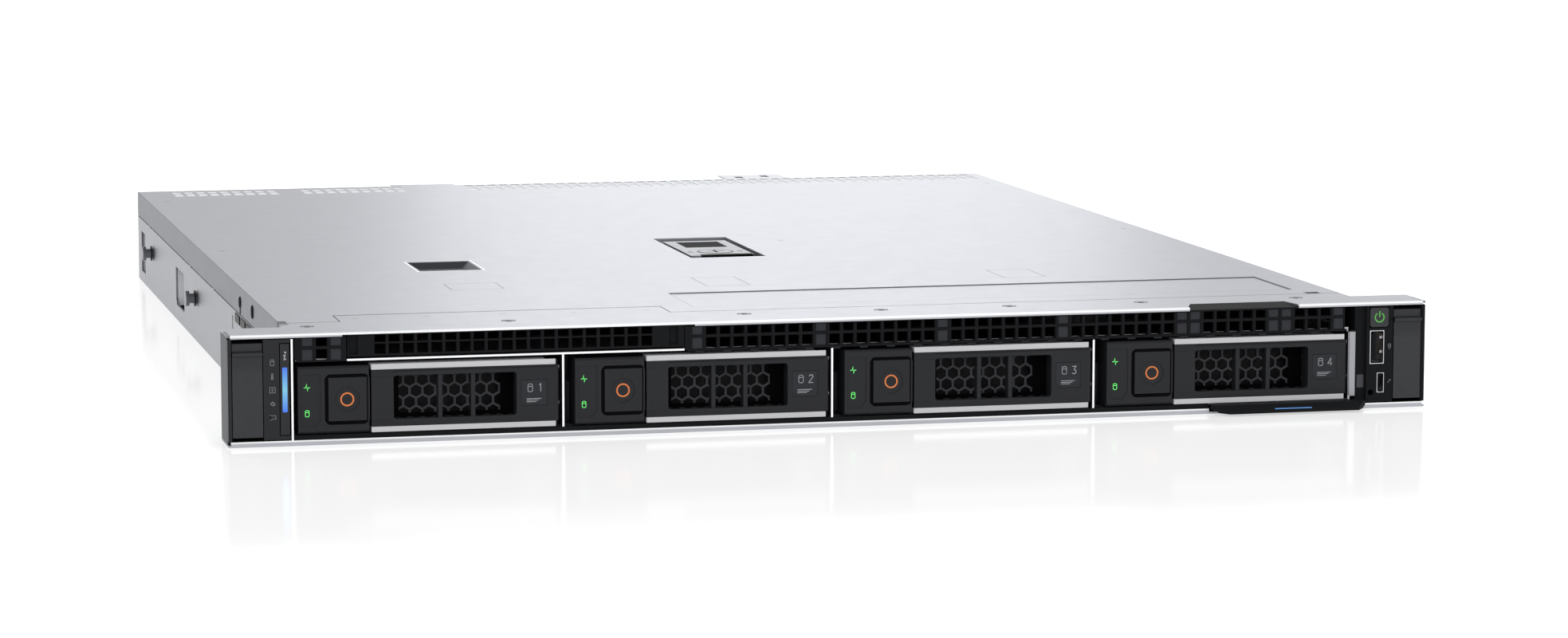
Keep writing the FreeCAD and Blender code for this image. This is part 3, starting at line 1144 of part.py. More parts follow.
def slot_covers():
    """Filler brackets that close the two card slots from inside."""
    covers = []
    for number in range(CARD_SLOTS):
        left = card_slot(number)
        plate = block((left, left + " + slot_width"), ("depth - sheet - 1", "depth - sheet"),
                      ("slot_low - 1.2", "slot_high + 1"))
        vents = []
        for place in range(COVER_VENTS):
            vent = left + " + %d" % (8 + 9 * place)
            vents.append(block((vent, vent + " + 5"), ("depth - 3", "depth"),
                               ("slot_low + 3", "slot_high - 3")))
        covers.append(cut(plate, *vents))
    return subpart("slot_covers", group(*covers))


def rear_ports():
    """Connectors of the rear wall, seated on the main board."""
    ports = []
    for name in PORTS:
        left, right, low, high = port_span(name)
        left, right = left + " + port_gap", right + " - port_gap"
        low, high = low + " + slack", high + " - slack"
        shell = block((left, right), ("depth - port_body", "depth - 0.1"), (low, high))
        kind = PORTS[name][0]
        if kind == "dsub":
            face = block((left + " + 4.6", right + " - 4.6"), ("depth - 6", "depth + 5"),
                         (low + " + 1.8", high + " - 1.8"))
            middle = "(%s + %s) / 2" % (low, high)
            screws = [rod("y", "2.3", (across, "depth - 3", middle), "7") for across in (left + " + 2.5",
                                                                                         right + " - 2.5")]
            ports.append(fuse(shell, face, *screws))
        else:
            wall = "usb_wall" if kind == "usb" else "2 * sheet"
            ports.append(cut(shell, block(
                ("%s + %s" % (left, wall), "%s - %s" % (right, wall)),
                ("depth - port_body + 3", "depth + 1"),
                ("%s + %s" % (low, wall), "%s - %s" % (high, wall)))))
    return subpart("rear_ports", group(*ports))


# ---------------------------------------------------------------- power
def power_bay_walls():
    """Sheet walls of the two power supply bays."""
    under_cover = ("sheet", "wall_top - sheet")
    middle = "supply_left + supply_width + 2"
    walls = [block(("bay_wall - sheet", "bay_wall"), ("supply_front - 14", "depth - sheet"), under_cover),
             block((middle, middle + " + sheet"), ("supply_front - 12 + board_thick + gap", "depth - 4"),
                   under_cover)]
    return subpart("power_bay_walls", group(*walls))


SUPPLY_COUNT = 2


def power_board():
    """Board at the front of the power bays with one socket for each supply."""
    front = "supply_front - 12"
    board = block(("supply_left", "bay_wall - sheet - gap"), (front, front + " + board_thick"),
                  ("sheet", "34"))
    sockets = []
    for number in range(SUPPLY_COUNT):
        left = "supply_left + %d * supply_pitch" % number
        sockets.append(block((left + " + 8", left + " + supply_width - 8"),
                             (front + " + 1", "supply_front - gap"),
                             ("10", "18")))
    return subpart("power_board", fuse(board, *sockets))


EXHAUST_SLOTS = 6
SIDE_VENTS = 4


def supply_case():
    """Power supply: steel case, fan grille, inlet, grip and the lugs of its release lever."""
    left = "supply_left"
    right = "supply_left + supply_width"
    face = ("depth - 2", "depth + 1")
    case = block((left, right), ("supply_front", "depth"), ("supply_low", "supply_high"))
    inlet_left, inlet_right = right + " - inlet_edge - inlet_width", right + " - inlet_edge"
    rim = block((inlet_left, inlet_right), ("depth - 1", "depth + sheet"), ("inlet_low", "inlet_high"))
    tools = [block((inlet_left + " + inlet_frame", inlet_right + " - inlet_frame"),
                   ("depth - 15", "depth + 2"),
                   ("inlet_low + inlet_frame + 0.4", "inlet_high - inlet_frame - 0.4"))]
    for number in range(EXHAUST_SLOTS):
        across = "(%s * exhaust_pitch)" % (number - (EXHAUST_SLOTS - 1) / 2)
        reach = "(exhaust_r ^ 2 - %s ^ 2) ^ 0.5" % across
        middle = "%s + exhaust_x + %s" % (left, across)
        tools.append(block((middle + " - exhaust_slot / 2", middle + " + exhaust_slot / 2"), face,
                           ("exhaust_z - " + reach, "exhaust_z + " + reach)))
    for number in range(SIDE_VENTS):
        vent = "%s + %d" % (inlet_left, 1 + 6 * number)
        tools.append(block((vent, vent + " + 3"), face, ("inlet_high + 3", "supply_high - 3.1")))
    across = (left + " + grip_left", left + " + grip_left + grip_width")
    reach = ("depth - 1", "depth + grip_reach")
    grip = [block(across, reach, ("grip_low", "grip_low + grip_bar")),
            block(across, reach, ("grip_high - grip_bar", "grip_high")),
            block(across, ("depth + grip_reach - grip_bar - 0.5", "depth + grip_reach"),
                  ("grip_low", "grip_high"))]
    top = "release_z + release_height"
    lugs = [block((right + " - 2.8", right), ("depth - 1", "depth + 5"), span)
            for span in (("release_z", "release_z + release_lug"), (top + " - release_lug", top))]
    pin = rod("z", "0.9", (right + " - release_edge", "depth + release_y", "release_z"), "release_height")
    return fuse(cut(fuse(case, rim), *tools), *grip, *lugs, pin)


def supply_lever():
    """Thumb lever beside the supply's vents, turning on an upright pin."""
    middle = "supply_left + supply_width - release_edge"
    pivot = "depth + release_y"
    span = ("release_z + release_lug + gap", "release_z + release_height - release_lug - gap")
    barrel = rod("z", "2", (middle, pivot, span[0]), "release_height - 2 * release_lug - 2 * gap")
    outer = middle + " + 0.8"
    arm = block((middle + " - 1.2", outer), (pivot, "depth + release_reach"), span)
    tip = block((middle + " - 2.3", outer), ("depth + release_reach - 2", "depth + release_reach"), span)
    bore = rod("z", "0.9 + pin_fit", (middle, pivot, "0"), "height")
    return cut(fuse(barrel, arm, tip), bore)


def supplies():
    """Two equal power supplies and their release levers."""
    case = supply_case()
    lever = supply_lever()
    doc.recompute()
    for number in range(SUPPLY_COUNT):
        for label, master in (("power_supply", case), ("supply_lever", lever)):
            piece = doc.addObject("Part::Feature", "supply_piece")
            piece.Shape = master.Shape
            bind(piece, Placement__Base__x="%d * supply_pitch" % number)
            subpart("%s_%d" % (label, number + 1), piece)


# ---------------------------------------------------------------- cables
def cable(points, radius, name):
    """Tube along straight runs joined by tangent arcs as large as the runs allow."""
    knots = [Vector(*point) for point in points]
    edges = []
    start = knots[0]
    for before, corner, after in zip(knots, knots[1:], knots[2:]):
        into = (corner - before).normalize()
        out = (after - corner).normalize()
        turn = into.getAngle(out)
        run = min((corner - before).Length, (after - corner).Length)
        reach = 0.45 * run
        bend = reach / math.tan(turn / 2)
        first = corner - into * reach
        last = corner + out * reach
        inward = (out - into).normalize()
        centre = corner + inward * (bend / math.cos(turn / 2))
        middle = centre - inward * bend
        edges.append(Part.LineSegment(start, first).toShape())
        edges.append(Part.Arc(first, middle, last).toShape())
        start = last
        print("%s bend radius %.1f" % (name, bend))
    edges.append(Part.LineSegment(start, knots[-1]).toShape())
    path = Part.Wire(edges)
    ring = Part.Wire(Part.Circle(knots[0], knots[1] - knots[0], radius).toShape())
    tube = path.makePipeShell([ring], True, False)
    print("%s volume over section times length %.4f" % (name,
                                                        tube.Volume / (math.pi * radius ** 2 * path.Length)))
    return tube


def cables():
    """Signal lead from the drives' board to the main board, and power lead to the power board."""
    data = cable([(-52, 173.8, 11), (-52, 213, 11), (-26, 262, 12), (-25, 303, 11), (-25, 341.8, 11.6)],
                 2.4, "data lead")
    power = cable([(-150, 173.8, 12), (-150, 230, 12), (-119, 285, 10), (-118, 330, 12), (-118, 373.8, 12)],
                  3, "power lead")
    leads = doc.addObject("Part::Feature", "leads")
    leads.Shape = Part.makeCompound([data, power])
    return subpart("cables", leads)


# ---------------------------------------------------------------- build
chassis_tray()
front_top_strip()
rack_ears()
ear_hardware()
rail_studs()
front_grilles()
optical_bay_blank()
drive_cage()
bays("carrier_frame", carrier_frame())
bays("hard_drive", hard_drive())
bays("carrier_handle", carrier_handle())
bays("handle_rails", handle_rails())
bays("release_button", release_button())
left_control_housing()
right_control_housing()
subpart("left_slam_latch", slam_latch(-1))
subpart("right_slam_latch", slam_latch(1))
front_keys()
port_shells()
information_tag()
top_cover()
cover_latch()
cover_lock()
fan_frames()
fan_rotors()
drive_backplane()
system_board()
board_components()
memory_modules()
processor_heatsink()
air_shroud()
riser_card()
slot_covers()
rear_ports()
power_bay_walls()
power_board()
supplies()
cables()
doc.recompute()

for thing in doc.Objects:
    if "Invalid" in thing.State or "Error" in thing.State:
        raise RuntimeError("%s (%s) failed: %s" % (thing.Name, thing.Label, thing.State))
for label, piece in subparts.items():
    if piece.Shape.isNull() or not piece.Shape.isValid():
        raise RuntimeError("%s has no valid shape" % label)

os.makedirs("parts", exist_ok=True)
for label, piece in subparts.items():
    piece.Shape.exportStep("parts/%s.step" % label)
print("%d sub-parts written" % len(subparts))
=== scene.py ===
"""Looks of a one-unit rack server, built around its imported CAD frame.

Everything is laid out in millimetres of the frame and scaled to metres when a
mesh is made.  X points to the right of someone facing the front, Y to the rear
and Z up; a depth is counted from the front face of the ears.
"""
from __future__ import annotations

import json
import logging
import math
import random
from dataclasses import dataclass, field
from enum import Enum
from typing import Iterable, Sequence, Union

import bmesh
import bpy
from mathutils import Matrix, Vector
from mathutils.bvhtree import BVHTree

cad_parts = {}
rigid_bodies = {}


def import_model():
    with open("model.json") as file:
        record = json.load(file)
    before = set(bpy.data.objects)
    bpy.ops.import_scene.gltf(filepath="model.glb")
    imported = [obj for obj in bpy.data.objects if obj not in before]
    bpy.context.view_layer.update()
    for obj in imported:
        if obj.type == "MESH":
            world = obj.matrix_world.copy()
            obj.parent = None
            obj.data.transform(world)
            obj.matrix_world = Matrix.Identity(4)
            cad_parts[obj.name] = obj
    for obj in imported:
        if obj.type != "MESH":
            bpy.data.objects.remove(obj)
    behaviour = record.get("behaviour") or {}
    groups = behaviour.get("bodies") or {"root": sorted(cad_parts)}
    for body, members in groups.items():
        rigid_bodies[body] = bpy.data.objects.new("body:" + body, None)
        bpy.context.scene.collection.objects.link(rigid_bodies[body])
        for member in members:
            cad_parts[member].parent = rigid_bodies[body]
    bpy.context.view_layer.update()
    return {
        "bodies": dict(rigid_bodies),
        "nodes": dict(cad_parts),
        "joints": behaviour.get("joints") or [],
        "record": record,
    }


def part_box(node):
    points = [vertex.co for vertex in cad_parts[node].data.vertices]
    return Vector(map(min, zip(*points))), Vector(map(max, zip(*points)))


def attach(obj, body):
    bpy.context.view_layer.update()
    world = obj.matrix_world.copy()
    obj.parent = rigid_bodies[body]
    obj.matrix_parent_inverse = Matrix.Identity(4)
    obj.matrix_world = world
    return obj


MM = 0.001
SEED = 7
BAYS = 4
log = logging.getLogger("rack_server")

# Inputs and output of a colour mixing node, which share their names with those of its other kinds.
MIX_UNDER, MIX_OVER, MIX_RESULT = 6, 7, 2
# A print starts this far inside its surface and stands this far proud of it, or less where it is thin ink.
SINK, PROUD, INK = 0.02, 0.06, 0.03
# Corners closer than this are one corner, edges bent further than this in radians get a bevel, and a drawn
# line's mitre reaches no further than this cosine allows.
MERGE, SHARP, MITRE = 0.0005, 0.6, 0.35

# Two coordinates of a plane, three of the frame, and both corners of a rectangle one after the other.
Point = tuple[float, float]
Place = tuple[float, float, float]
Rect = tuple[float, float, float, float]
# Short names of the node types, a tone of a finish, and a layer of tone with its share.
Tree = bpy.types.NodeTree
Node = bpy.types.Node
Socket = bpy.types.NodeSocket
Tone = Union[Socket, tuple[float, float, float, float]]
Layer = tuple[Socket, Tone]


# ------------------------------------------------------------------ frame
@dataclass(frozen=True)
class Box:
    """Box in millimetres: of a CAD node, or of a small part counted from the place that carries it."""

    left: float
    front: float
    low: float
    right: float
    back: float
    high: float

    def corners(self, across: float = 0.0, along: float = 0.0, up: float = 0.0) -> tuple[Place, Place]:
        """Two opposite corners of the box, moved along the three axes.

        Args:
            across: way to the right.
            along: way to the rear.
            up: way up.

        Returns:
            Left front lower corner and right rear upper corner.
        """
        return ((self.left + across, self.front + along, self.low + up),
                (self.right + across, self.back + along, self.high + up))


def box_of(node: str) -> Box:
    """Box of a CAD node at rest.

    Args:
        node: name of the node in the frame.

    Returns:
        Its box in millimetres.
    """
    low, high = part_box(node)
    return Box(*(value / MM for value in (*low, *high)))


class Plane(Enum):
    """Flat side on which an outline is drawn; the third axis grows outwards."""

    FRONT = Matrix(((1, 0, 0), (0, 0, -1), (0, 1, 0)))
    REAR = Matrix(((1, 0, 0), (0, 0, 1), (0, 1, 0)))
    TOP = Matrix(((1, 0, 0), (0, 1, 0), (0, 0, 1)))
    LEFT = Matrix(((0, 0, -1), (1, 0, 0), (0, 1, 0)))
    RIGHT = Matrix(((0, 0, 1), (1, 0, 0), (0, 1, 0)))


# ------------------------------------------------------------------ colours and node helper
def linear(colour: str) -> tuple[float, float, float, float]:
    """Turn an sRGB hex value into linear colour.

    Args:
        colour: six hex digits after a hash.

    Returns:
        Linear red, green, blue and an alpha of one.
    """
    parts = [int(colour[place:place + 2], 16) / 255 for place in (1, 3, 5)]
    red, green, blue = (part / 12.92 if part <= 0.04045 else ((part + 0.055) / 1.055) ** 2.4
                        for part in parts)
    return (red, green, blue, 1.0)


def add(tree: Tree, kind: str, feeds: dict | None = None, **settings: object) -> Node:
    """Add a node with its settings and its inputs.

    Args:
        tree: node tree that gets the node.
        kind: Blender's type name of the node.
        feeds: input name or number to a value or to an output socket.
        settings: properties of the node itself.

    Returns:
        The new node.
    """
    node = tree.nodes.new(kind)
    for name, setting in settings.items():
        setattr(node, name, setting)
    for key, feed in (feeds or {}).items():
        if isinstance(feed, Socket):
            tree.links.new(feed, node.inputs[key])
        else:
            node.inputs[key].default_value = feed
    return node


# ------------------------------------------------------------------ finishes
@dataclass(frozen=True)
class Finish:
    """Base of every finish: a colour, its gloss and a softened edge."""

    name: str
    slot: str
    colour: str
    roughness: float = 0.5
    metallic: float = 0.0
    edge: float = 0.25
    rim: str = "#FFFFFF"
    specular: float = 0.5

    def material(self) -> bpy.types.Material:
        """Material of this finish, made once and shared.

        Returns:
            The material.
        """
        known = bpy.data.materials.get(self.name)
        if known:
            return known
        made = bpy.data.materials.new(self.name)
        made.use_nodes = True
        tree = made.node_tree
        shader = tree.nodes["Principled BSDF"]
        shader.inputs["Base Color"].default_value = linear(self.colour)
        shader.inputs["Roughness"].default_value = self.roughness
        shader.inputs["Metallic"].default_value = self.metallic
        shader.inputs["Specular Tint"].default_value = linear(self.rim)
        shader.inputs["Specular IOR Level"].default_value = self.specular
        made.diffuse_color = linear(self.colour)
        self.detail(tree, shader)
        return made

    def detail(self, tree: Tree, shader: Node) -> None:
        """Add the pattern of the finish; each kind has its own."""
        raise NotImplementedError

    def grid(self, tree: Tree, pitch: Place) -> Socket:
        """Object coordinates stretched so that one unit is one step of a pattern.

        Args:
            tree: tree of the material.
            pitch: step of the pattern along X, Y and Z in millimetres.

        Returns:
            Socket with the stretched coordinates.
        """
        place = add(tree, "ShaderNodeTexCoord").outputs["Object"]
        scale = tuple(1 / (step * MM) for step in pitch)
        return add(tree, "ShaderNodeMapping", {"Vector": place, "Scale": scale}).outputs["Vector"]

    def axis(self, tree: Tree, name: str) -> Socket:
        """One of the three object coordinates.

        Args:
            tree: tree of the material.
            name: X, Y or Z.

        Returns:
            Socket with that coordinate.
        """
        place = add(tree, "ShaderNodeTexCoord").outputs["Object"]
        return add(tree, "ShaderNodeSeparateXYZ", {0: place}).outputs[name]

    def beyond(self, tree: Tree, name: str, start: float, end: float, mirrored: bool = False) -> Socket:
        """Share that runs from nought to one between two places on an axis.

        Args:
            tree: tree of the material.
            name: X, Y or Z.
            start: where it leaves nought, in millimetres.
            end: where it reaches one; it may lie on either side of the start.
            mirrored: the same on the axis's other half.

        Returns:
            Socket with the share.
        """
        place = self.axis(tree, name)
        if mirrored:
            place = add(tree, "ShaderNodeMath", {0: place}, operation="ABSOLUTE").outputs[0]
        limits = {"Value": place, "From Min": start * MM, "From Max": end * MM}
        return add(tree, "ShaderNodeMapRange", limits).outputs[0]

    def layers(self, tree: Tree, tone: Tone, marks: Iterable[Layer]) -> Tone:
        """Lay further tones over a first one.

        Args:
            tree: tree of the material.
            tone: first tone, as a socket or a linear colour.
            marks: (share, tone) of each layer; a share of one hides what is below.

        Returns:
            Socket with the result, or the first tone when there are no marks.
        """
        for share, over in marks:
            mixed = add(tree, "ShaderNodeMix", {0: share, MIX_UNDER: tone, MIX_OVER: over},
                        data_type="RGBA")
            tone = mixed.outputs[MIX_RESULT]
        return tone

    def mottle(self, tree: Tree, shader: Node, factor: Socket, other: str, spread: float) -> Socket:
        """Mix a second tone into the colour and let the gloss wander with it.

        Args:
            tree: tree of the material.
            shader: its surface shader.
            factor: pattern between nought and one.
            other: the second tone.
            spread: how much rougher the second tone is.

        Returns:
            Socket with the mixed colour, for a further layer.
        """
        tone = self.layers(tree, linear(self.colour), ((factor, linear(other)),))
        tree.links.new(tone, shader.inputs["Base Color"])
        gloss = add(tree, "ShaderNodeMapRange", {"Value": factor, "To Min": self.roughness,
                                                 "To Max": self.roughness + spread})
        tree.links.new(gloss.outputs[0], shader.inputs["Roughness"])
        return tone

    def relief(self, tree: Tree, shader: Node, height: Socket, deep: float) -> None:
        """Bump from a height pattern, laid over edges rounded by the edge radius.

        Args:
            tree: tree of the material.
            shader: its surface shader.
            height: pattern between nought and one.
            deep: height of the pattern in millimetres.
        """
        soft = add(tree, "ShaderNodeBevel", {"Radius": self.edge * MM}, samples=4)
        bump = add(tree, "ShaderNodeBump",
                   {"Height": height, "Distance": deep * MM, "Normal": soft.outputs[0]})
        tree.links.new(bump.outputs[0], shader.inputs["Normal"])


@dataclass(frozen=True)
class ZincSheet(Finish):
    """Electro-galvanised steel sheet: satin, with faint rolling lines, pale clouds and a painted highlight
    on the front folds.

    The zinc's own crystals are far finer than shows, so only the rolling lines and the slow clouds of the
    plating bath are drawn.
    """

    other: str = "#B2B4B9"
    line_pitch: Place = (0.9, 70.0, 0.9)
    cloud: float = 45.0
    cloud_lift: float = 0.1
    spread: float = 0.1
    deep: float = 0.004
    # Painted highlight: a near-white tone laid over the front folds, ahead of fold_from and above
    # fold_above.
    painted_highlight: str = "#FAFBFC"
    fold_from: float = -20.4
    fold_above: float = 2.6
    fold: float = 0.5

    def detail(self, tree: Tree, shader: Node) -> None:
        """Rolling lines run from front to rear, over slow clouds of the zinc.

        Args:
            tree: tree of the material.
            shader: its surface shader.
        """
        lines = add(tree, "ShaderNodeTexNoise", {"Vector": self.grid(tree, self.line_pitch), "Detail": 2.0})
        clouds = add(tree, "ShaderNodeTexNoise",
                     {"Vector": self.grid(tree, (self.cloud,) * 3), "Detail": 3.0})
        both = add(tree, "ShaderNodeMath", {0: lines.outputs[0], 1: clouds.outputs[0], 2: self.cloud_lift},
                   operation="MULTIPLY_ADD")
        tone = self.mottle(tree, shader, both.outputs[0], self.other, self.spread)
        # Painted highlight on the front folds.
        front = self.beyond(tree, "Y", self.fold_from, self.fold_from - self.fold)
        lifted = self.beyond(tree, "Z", self.fold_above, self.fold_above + self.fold)
        highlight_share = add(tree, "ShaderNodeMath", {0: front, 1: lifted}, operation="MULTIPLY").outputs[0]
        tone = self.layers(tree, tone, ((highlight_share, linear(self.painted_highlight)), *self.marks(tree)))
        tree.links.new(tone, shader.inputs["Base Color"])
        self.relief(tree, shader, lines.outputs[0], self.deep)

    def marks(self, tree: Tree) -> list[Layer]:
        """Share and tone of each further mark on the sheet, painted shade and painted highlight among them;
        the plain sheet has none.
        """
        return []


@dataclass(frozen=True)
class CoverSheet(ZincSheet):
    """The same sheet as a cover: painted shade on pressed outlines, seams, fold edges and punched holes, a
    painted dark reflection in a dimple, and painted highlight on its rim and the vents' sheared walls.
    """

    pressed: tuple[Rect, ...] = ()
    punched: tuple[Rect, ...] = ()
    seams: tuple[Rect, ...] = ()
    rims: tuple[Rect, ...] = ()
    dishes: tuple[Rect, ...] = ()
    line: float = 0.35
    blend: float = 0.1
    vents: Rect = (-214.0, 519.0, 214.0, 546.0)
    # Heights below which the vents' sheared walls get painted highlight, and the dimple a painted dark
    # reflection.
    vent_highlight_heights: Point = (42.77, 42.72)
    sunk: Point = (42.7, 42.4)
    # Tones of painted shade on outlines, on seams and fold edges and in punched holes, and of the dimple's
    # painted dark reflection.
    shade: str = "#85878C"
    seam: str = "#6F7176"
    dark: str = "#1A1B1D"
    dish: str = "#4A4B50"

    def marks(self, tree: Tree) -> list[Layer]:
        """Painted shade draws outlines and seams as thin grey lines and punched holes dark, a painted dark
        reflection fills the dimple, and painted highlight brightens its rim and the vents' sheared walls.

        Args:
            tree: tree of the material.

        Returns:
            Share and tone of each mark.
        """
        made = [(self.below(tree, box, self.sunk), linear(self.dish)) for box in self.dishes]
        for boxes, colour, outline in ((self.pressed, self.shade, True), (self.rims, self.painted_highlight, True),
                                       (self.seams, self.seam, False), (self.punched, self.dark, False)):
            made += [(self.box_share(tree, box, outline), linear(colour)) for box in boxes]
        return made + [(self.below(tree, self.vents, self.vent_highlight_heights), linear(self.painted_highlight))]

    def below(self, tree: Tree, box: Rect, heights: Point) -> Socket:
        """One inside a box and below a height, and nought elsewhere.

        Args:
            tree: tree of the material.
            box: left, front, right and rear in millimetres.
            heights: where the share leaves nought and where it reaches one.

        Returns:
            Socket with the share.
        """
        inside = self.box_share(tree, box, False)
        return add(tree, "ShaderNodeMath", {0: inside, 1: self.beyond(tree, "Z", *heights)},
                   operation="MULTIPLY").outputs[0]

    def box_share(self, tree: Tree, box: Rect, outline: bool) -> Socket:
        """One on the outline of a box, or all over it, and nought elsewhere.

        Args:
            tree: tree of the material.
            box: left, front, right and rear in millimetres.
            outline: only its outline counts.

        Returns:
            Socket with the share.
        """
        reaches = []
        for name, low, high in (("X", box[0], box[2]), ("Y", box[1], box[3])):
            away = add(tree, "ShaderNodeMath", {0: self.axis(tree, name), 1: (low + high) / 2 * MM},
                       operation="SUBTRACT")
            far = add(tree, "ShaderNodeMath", {0: away.outputs[0]}, operation="ABSOLUTE")
            reaches.append(add(tree, "ShaderNodeMath", {0: far.outputs[0], 1: (high - low) / 2 * MM},
                               operation="SUBTRACT").outputs[0])
        edge = add(tree, "ShaderNodeMath", {0: reaches[0], 1: reaches[1]}, operation="MAXIMUM").outputs[0]
        if outline:
            edge = add(tree, "ShaderNodeMath", {0: edge}, operation="ABSOLUTE").outputs[0]
        wide = self.line if outline else 0.0
        return add(tree, "ShaderNodeMapRange", {"Value": edge, "From Min": (wide + self.blend) * MM,
                                                "From Max": wide * MM}).outputs[0]


@dataclass(frozen=True)
class TraySheet(ZincSheet):
    """Folded tray; painted shade makes its side walls a little duller than its floor and front."""

    # Painted shade: duller outer flanks, and a dark band on them just below the cover's skirt.
    flank_shade: str = "#96979C"
    flank_from: float = 216.0
    flank_behind: float = -20.3
    seam: str = "#55565A"
    seam_from: float = 30.75
    blend: Place = (0.1, 0.3, 0.15)

    def marks(self, tree: Tree) -> list[Layer]:
        """Painted shade: the tone goes duller on the outer faces of both side walls and dark just below the
        cover's skirt.

        Args:
            tree: tree of the material.

        Returns:
            Share and tone of each mark.
        """
        outside = self.beyond(tree, "X", self.flank_from, self.flank_from + self.blend[0], mirrored=True)
        behind = self.beyond(tree, "Y", self.flank_behind, self.flank_behind + self.blend[1])
        flank_shade = add(tree, "ShaderNodeMath", {0: outside, 1: behind}, operation="MULTIPLY").outputs[0]
        above = self.beyond(tree, "Z", self.seam_from, self.seam_from + self.blend[2])
        seam = add(tree, "ShaderNodeMath", {0: flank_shade, 1: above}, operation="MULTIPLY").outputs[0]
        return [(flank_shade, linear(self.flank_shade)), (seam, linear(self.seam))]


@dataclass(frozen=True)
class FineGrain(Finish):
    """Finish whose fine, even grain moves its colour, its gloss and its height together."""

    other: str = "#2E2F32"
    grain: Place = (0.35, 0.35, 0.35)
    octaves: float = 2.0
    spread: float = 0.08
    deep: float = 0.01

    def detail(self, tree: Tree, shader: Node) -> None:
        """Noise as fine as the grain, in all three.

        Args:
            tree: tree of the material.
            shader: its surface shader.
        """
        place = self.grid(tree, self.grain)
        grain = add(tree, "ShaderNodeTexNoise", {"Vector": place, "Detail": self.octaves})
        self.mottle(tree, shader, grain.outputs[0], self.other, self.spread)
        self.relief(tree, shader, grain.outputs[0], self.deep)


@dataclass(frozen=True)
class MouldedPlastic(FineGrain):
    """Injection-moulded plastic with the fine spark texture of its mould."""


@dataclass(frozen=True)
class GrainedPlastic(Finish):
    """Moulded plastic with a coarse leather grain below a smooth band."""

    other: str = "#4A4B50"
    grain: float = 0.9
    spread: float = 0.12
    deep: float = 0.16
    smooth_from: float = 31.0
    blend: float = 3.5

    def detail(self, tree: Tree, shader: Node) -> None:
        """Pebbles fade out towards the smooth grip at the top.

        Args:
            tree: tree of the material.
            shader: its surface shader.
        """
        pebbles = add(tree, "ShaderNodeTexVoronoi", {"Vector": self.grid(tree, (self.grain,) * 3)},
                      feature="SMOOTH_F1")
        amount = self.beyond(tree, "Z", self.smooth_from, self.smooth_from - self.blend)
        grain = add(tree, "ShaderNodeMath", {0: pebbles.outputs[0], 1: amount}, operation="MULTIPLY")
        self.mottle(tree, shader, grain.outputs[0], self.other, self.spread)
        self.relief(tree, shader, grain.outputs[0], self.deep)


@dataclass(frozen=True)
class SatinPaint(FineGrain):
    """Sprayed or printed paint with the soft waves of its film, a faint orange peel."""

    other: str = "#C4C4C9"
    grain: Place = (1.2, 1.2, 1.2)
    octaves: float = 1.0
    spread: float = 0.06
    deep: float = 0.006


@dataclass(frozen=True)
class PlainMetal(FineGrain):
    """Drawn, cast or plated metal; the grain runs along one axis."""

    other: str = "#8C8E92"
    grain: Place = (0.4, 6.0, 0.4)
    spread: float = 0.12
    deep: float = 0.006


@dataclass(frozen=True)
class Lamp(Finish):
    """Lit window of moulded acrylic over a lamp; palest at the lamp's own height."""

    core: str = "#FFFFFF"
    unlit: str = "#101112"
    power: float = 1.0
    middle: float = 0.0
    half: float = 10.0

    def detail(self, tree: Tree, shader: Node) -> None:
        """The glow pales towards the lamp's own height and falls off to its ends.

        Args:
            tree: tree of the material.
            shader: its surface shader.
        """
        away = add(tree, "ShaderNodeMath", {0: self.axis(tree, "Z"), 1: self.middle * MM},
                   operation="SUBTRACT")
        far = add(tree, "ShaderNodeMath", {0: away.outputs[0]}, operation="ABSOLUTE")
        share = add(tree, "ShaderNodeMapRange", {"Value": far.outputs[0], "From Max": self.half * MM})
        glow = self.layers(tree, linear(self.core), ((share.outputs[0], linear(self.colour)),))
        tree.links.new(glow, shader.inputs["Emission Color"])
        shader.inputs["Base Color"].default_value = linear(self.unlit)
        shader.inputs["Emission Strength"].default_value = self.power


@dataclass(frozen=True)
class CircuitBoard(Finish):
    """Glass-epoxy board under green solder mask, with its copper tracks showing through.

    Real tracks are about 0.15 mm wide; these are drawn coarse enough to show.
    """

    other: str = "#1C6B42"
    track: float = 1.6
    track_share: float = 0.07
    patch: float = 18.0
    bare_from: float = 0.45
    spread: float = 0.05
    deep: float = 0.03

    def detail(self, tree: Tree, shader: Node) -> None:
        """Blocks of parallel tracks in patches of the board.

        Args:
            tree: tree of the material.
            shader: its surface shader.
        """
        tracks = add(tree, "ShaderNodeTexBrick", {
            "Vector": self.grid(tree, (self.track,) * 3), "Color1": (0, 0, 0, 1),
            "Color2": (0.2, 0.2, 0.2, 1), "Mortar": (1, 1, 1, 1), "Scale": 1.0,
            "Mortar Size": self.track_share, "Brick Width": 7.0, "Row Height": 0.5})
        patches = add(tree, "ShaderNodeTexVoronoi", {"Vector": self.grid(tree, (self.patch,) * 3)})
        step = add(tree, "ShaderNodeMath", {0: patches.outputs["Distance"], 1: self.bare_from},
                   operation="LESS_THAN")
        both = add(tree, "ShaderNodeMath", {0: tracks.outputs["Color"], 1: step.outputs[0]},
                   operation="MULTIPLY")
        self.mottle(tree, shader, both.outputs[0], self.other, self.spread)
        self.relief(tree, shader, both.outputs[0], self.deep)


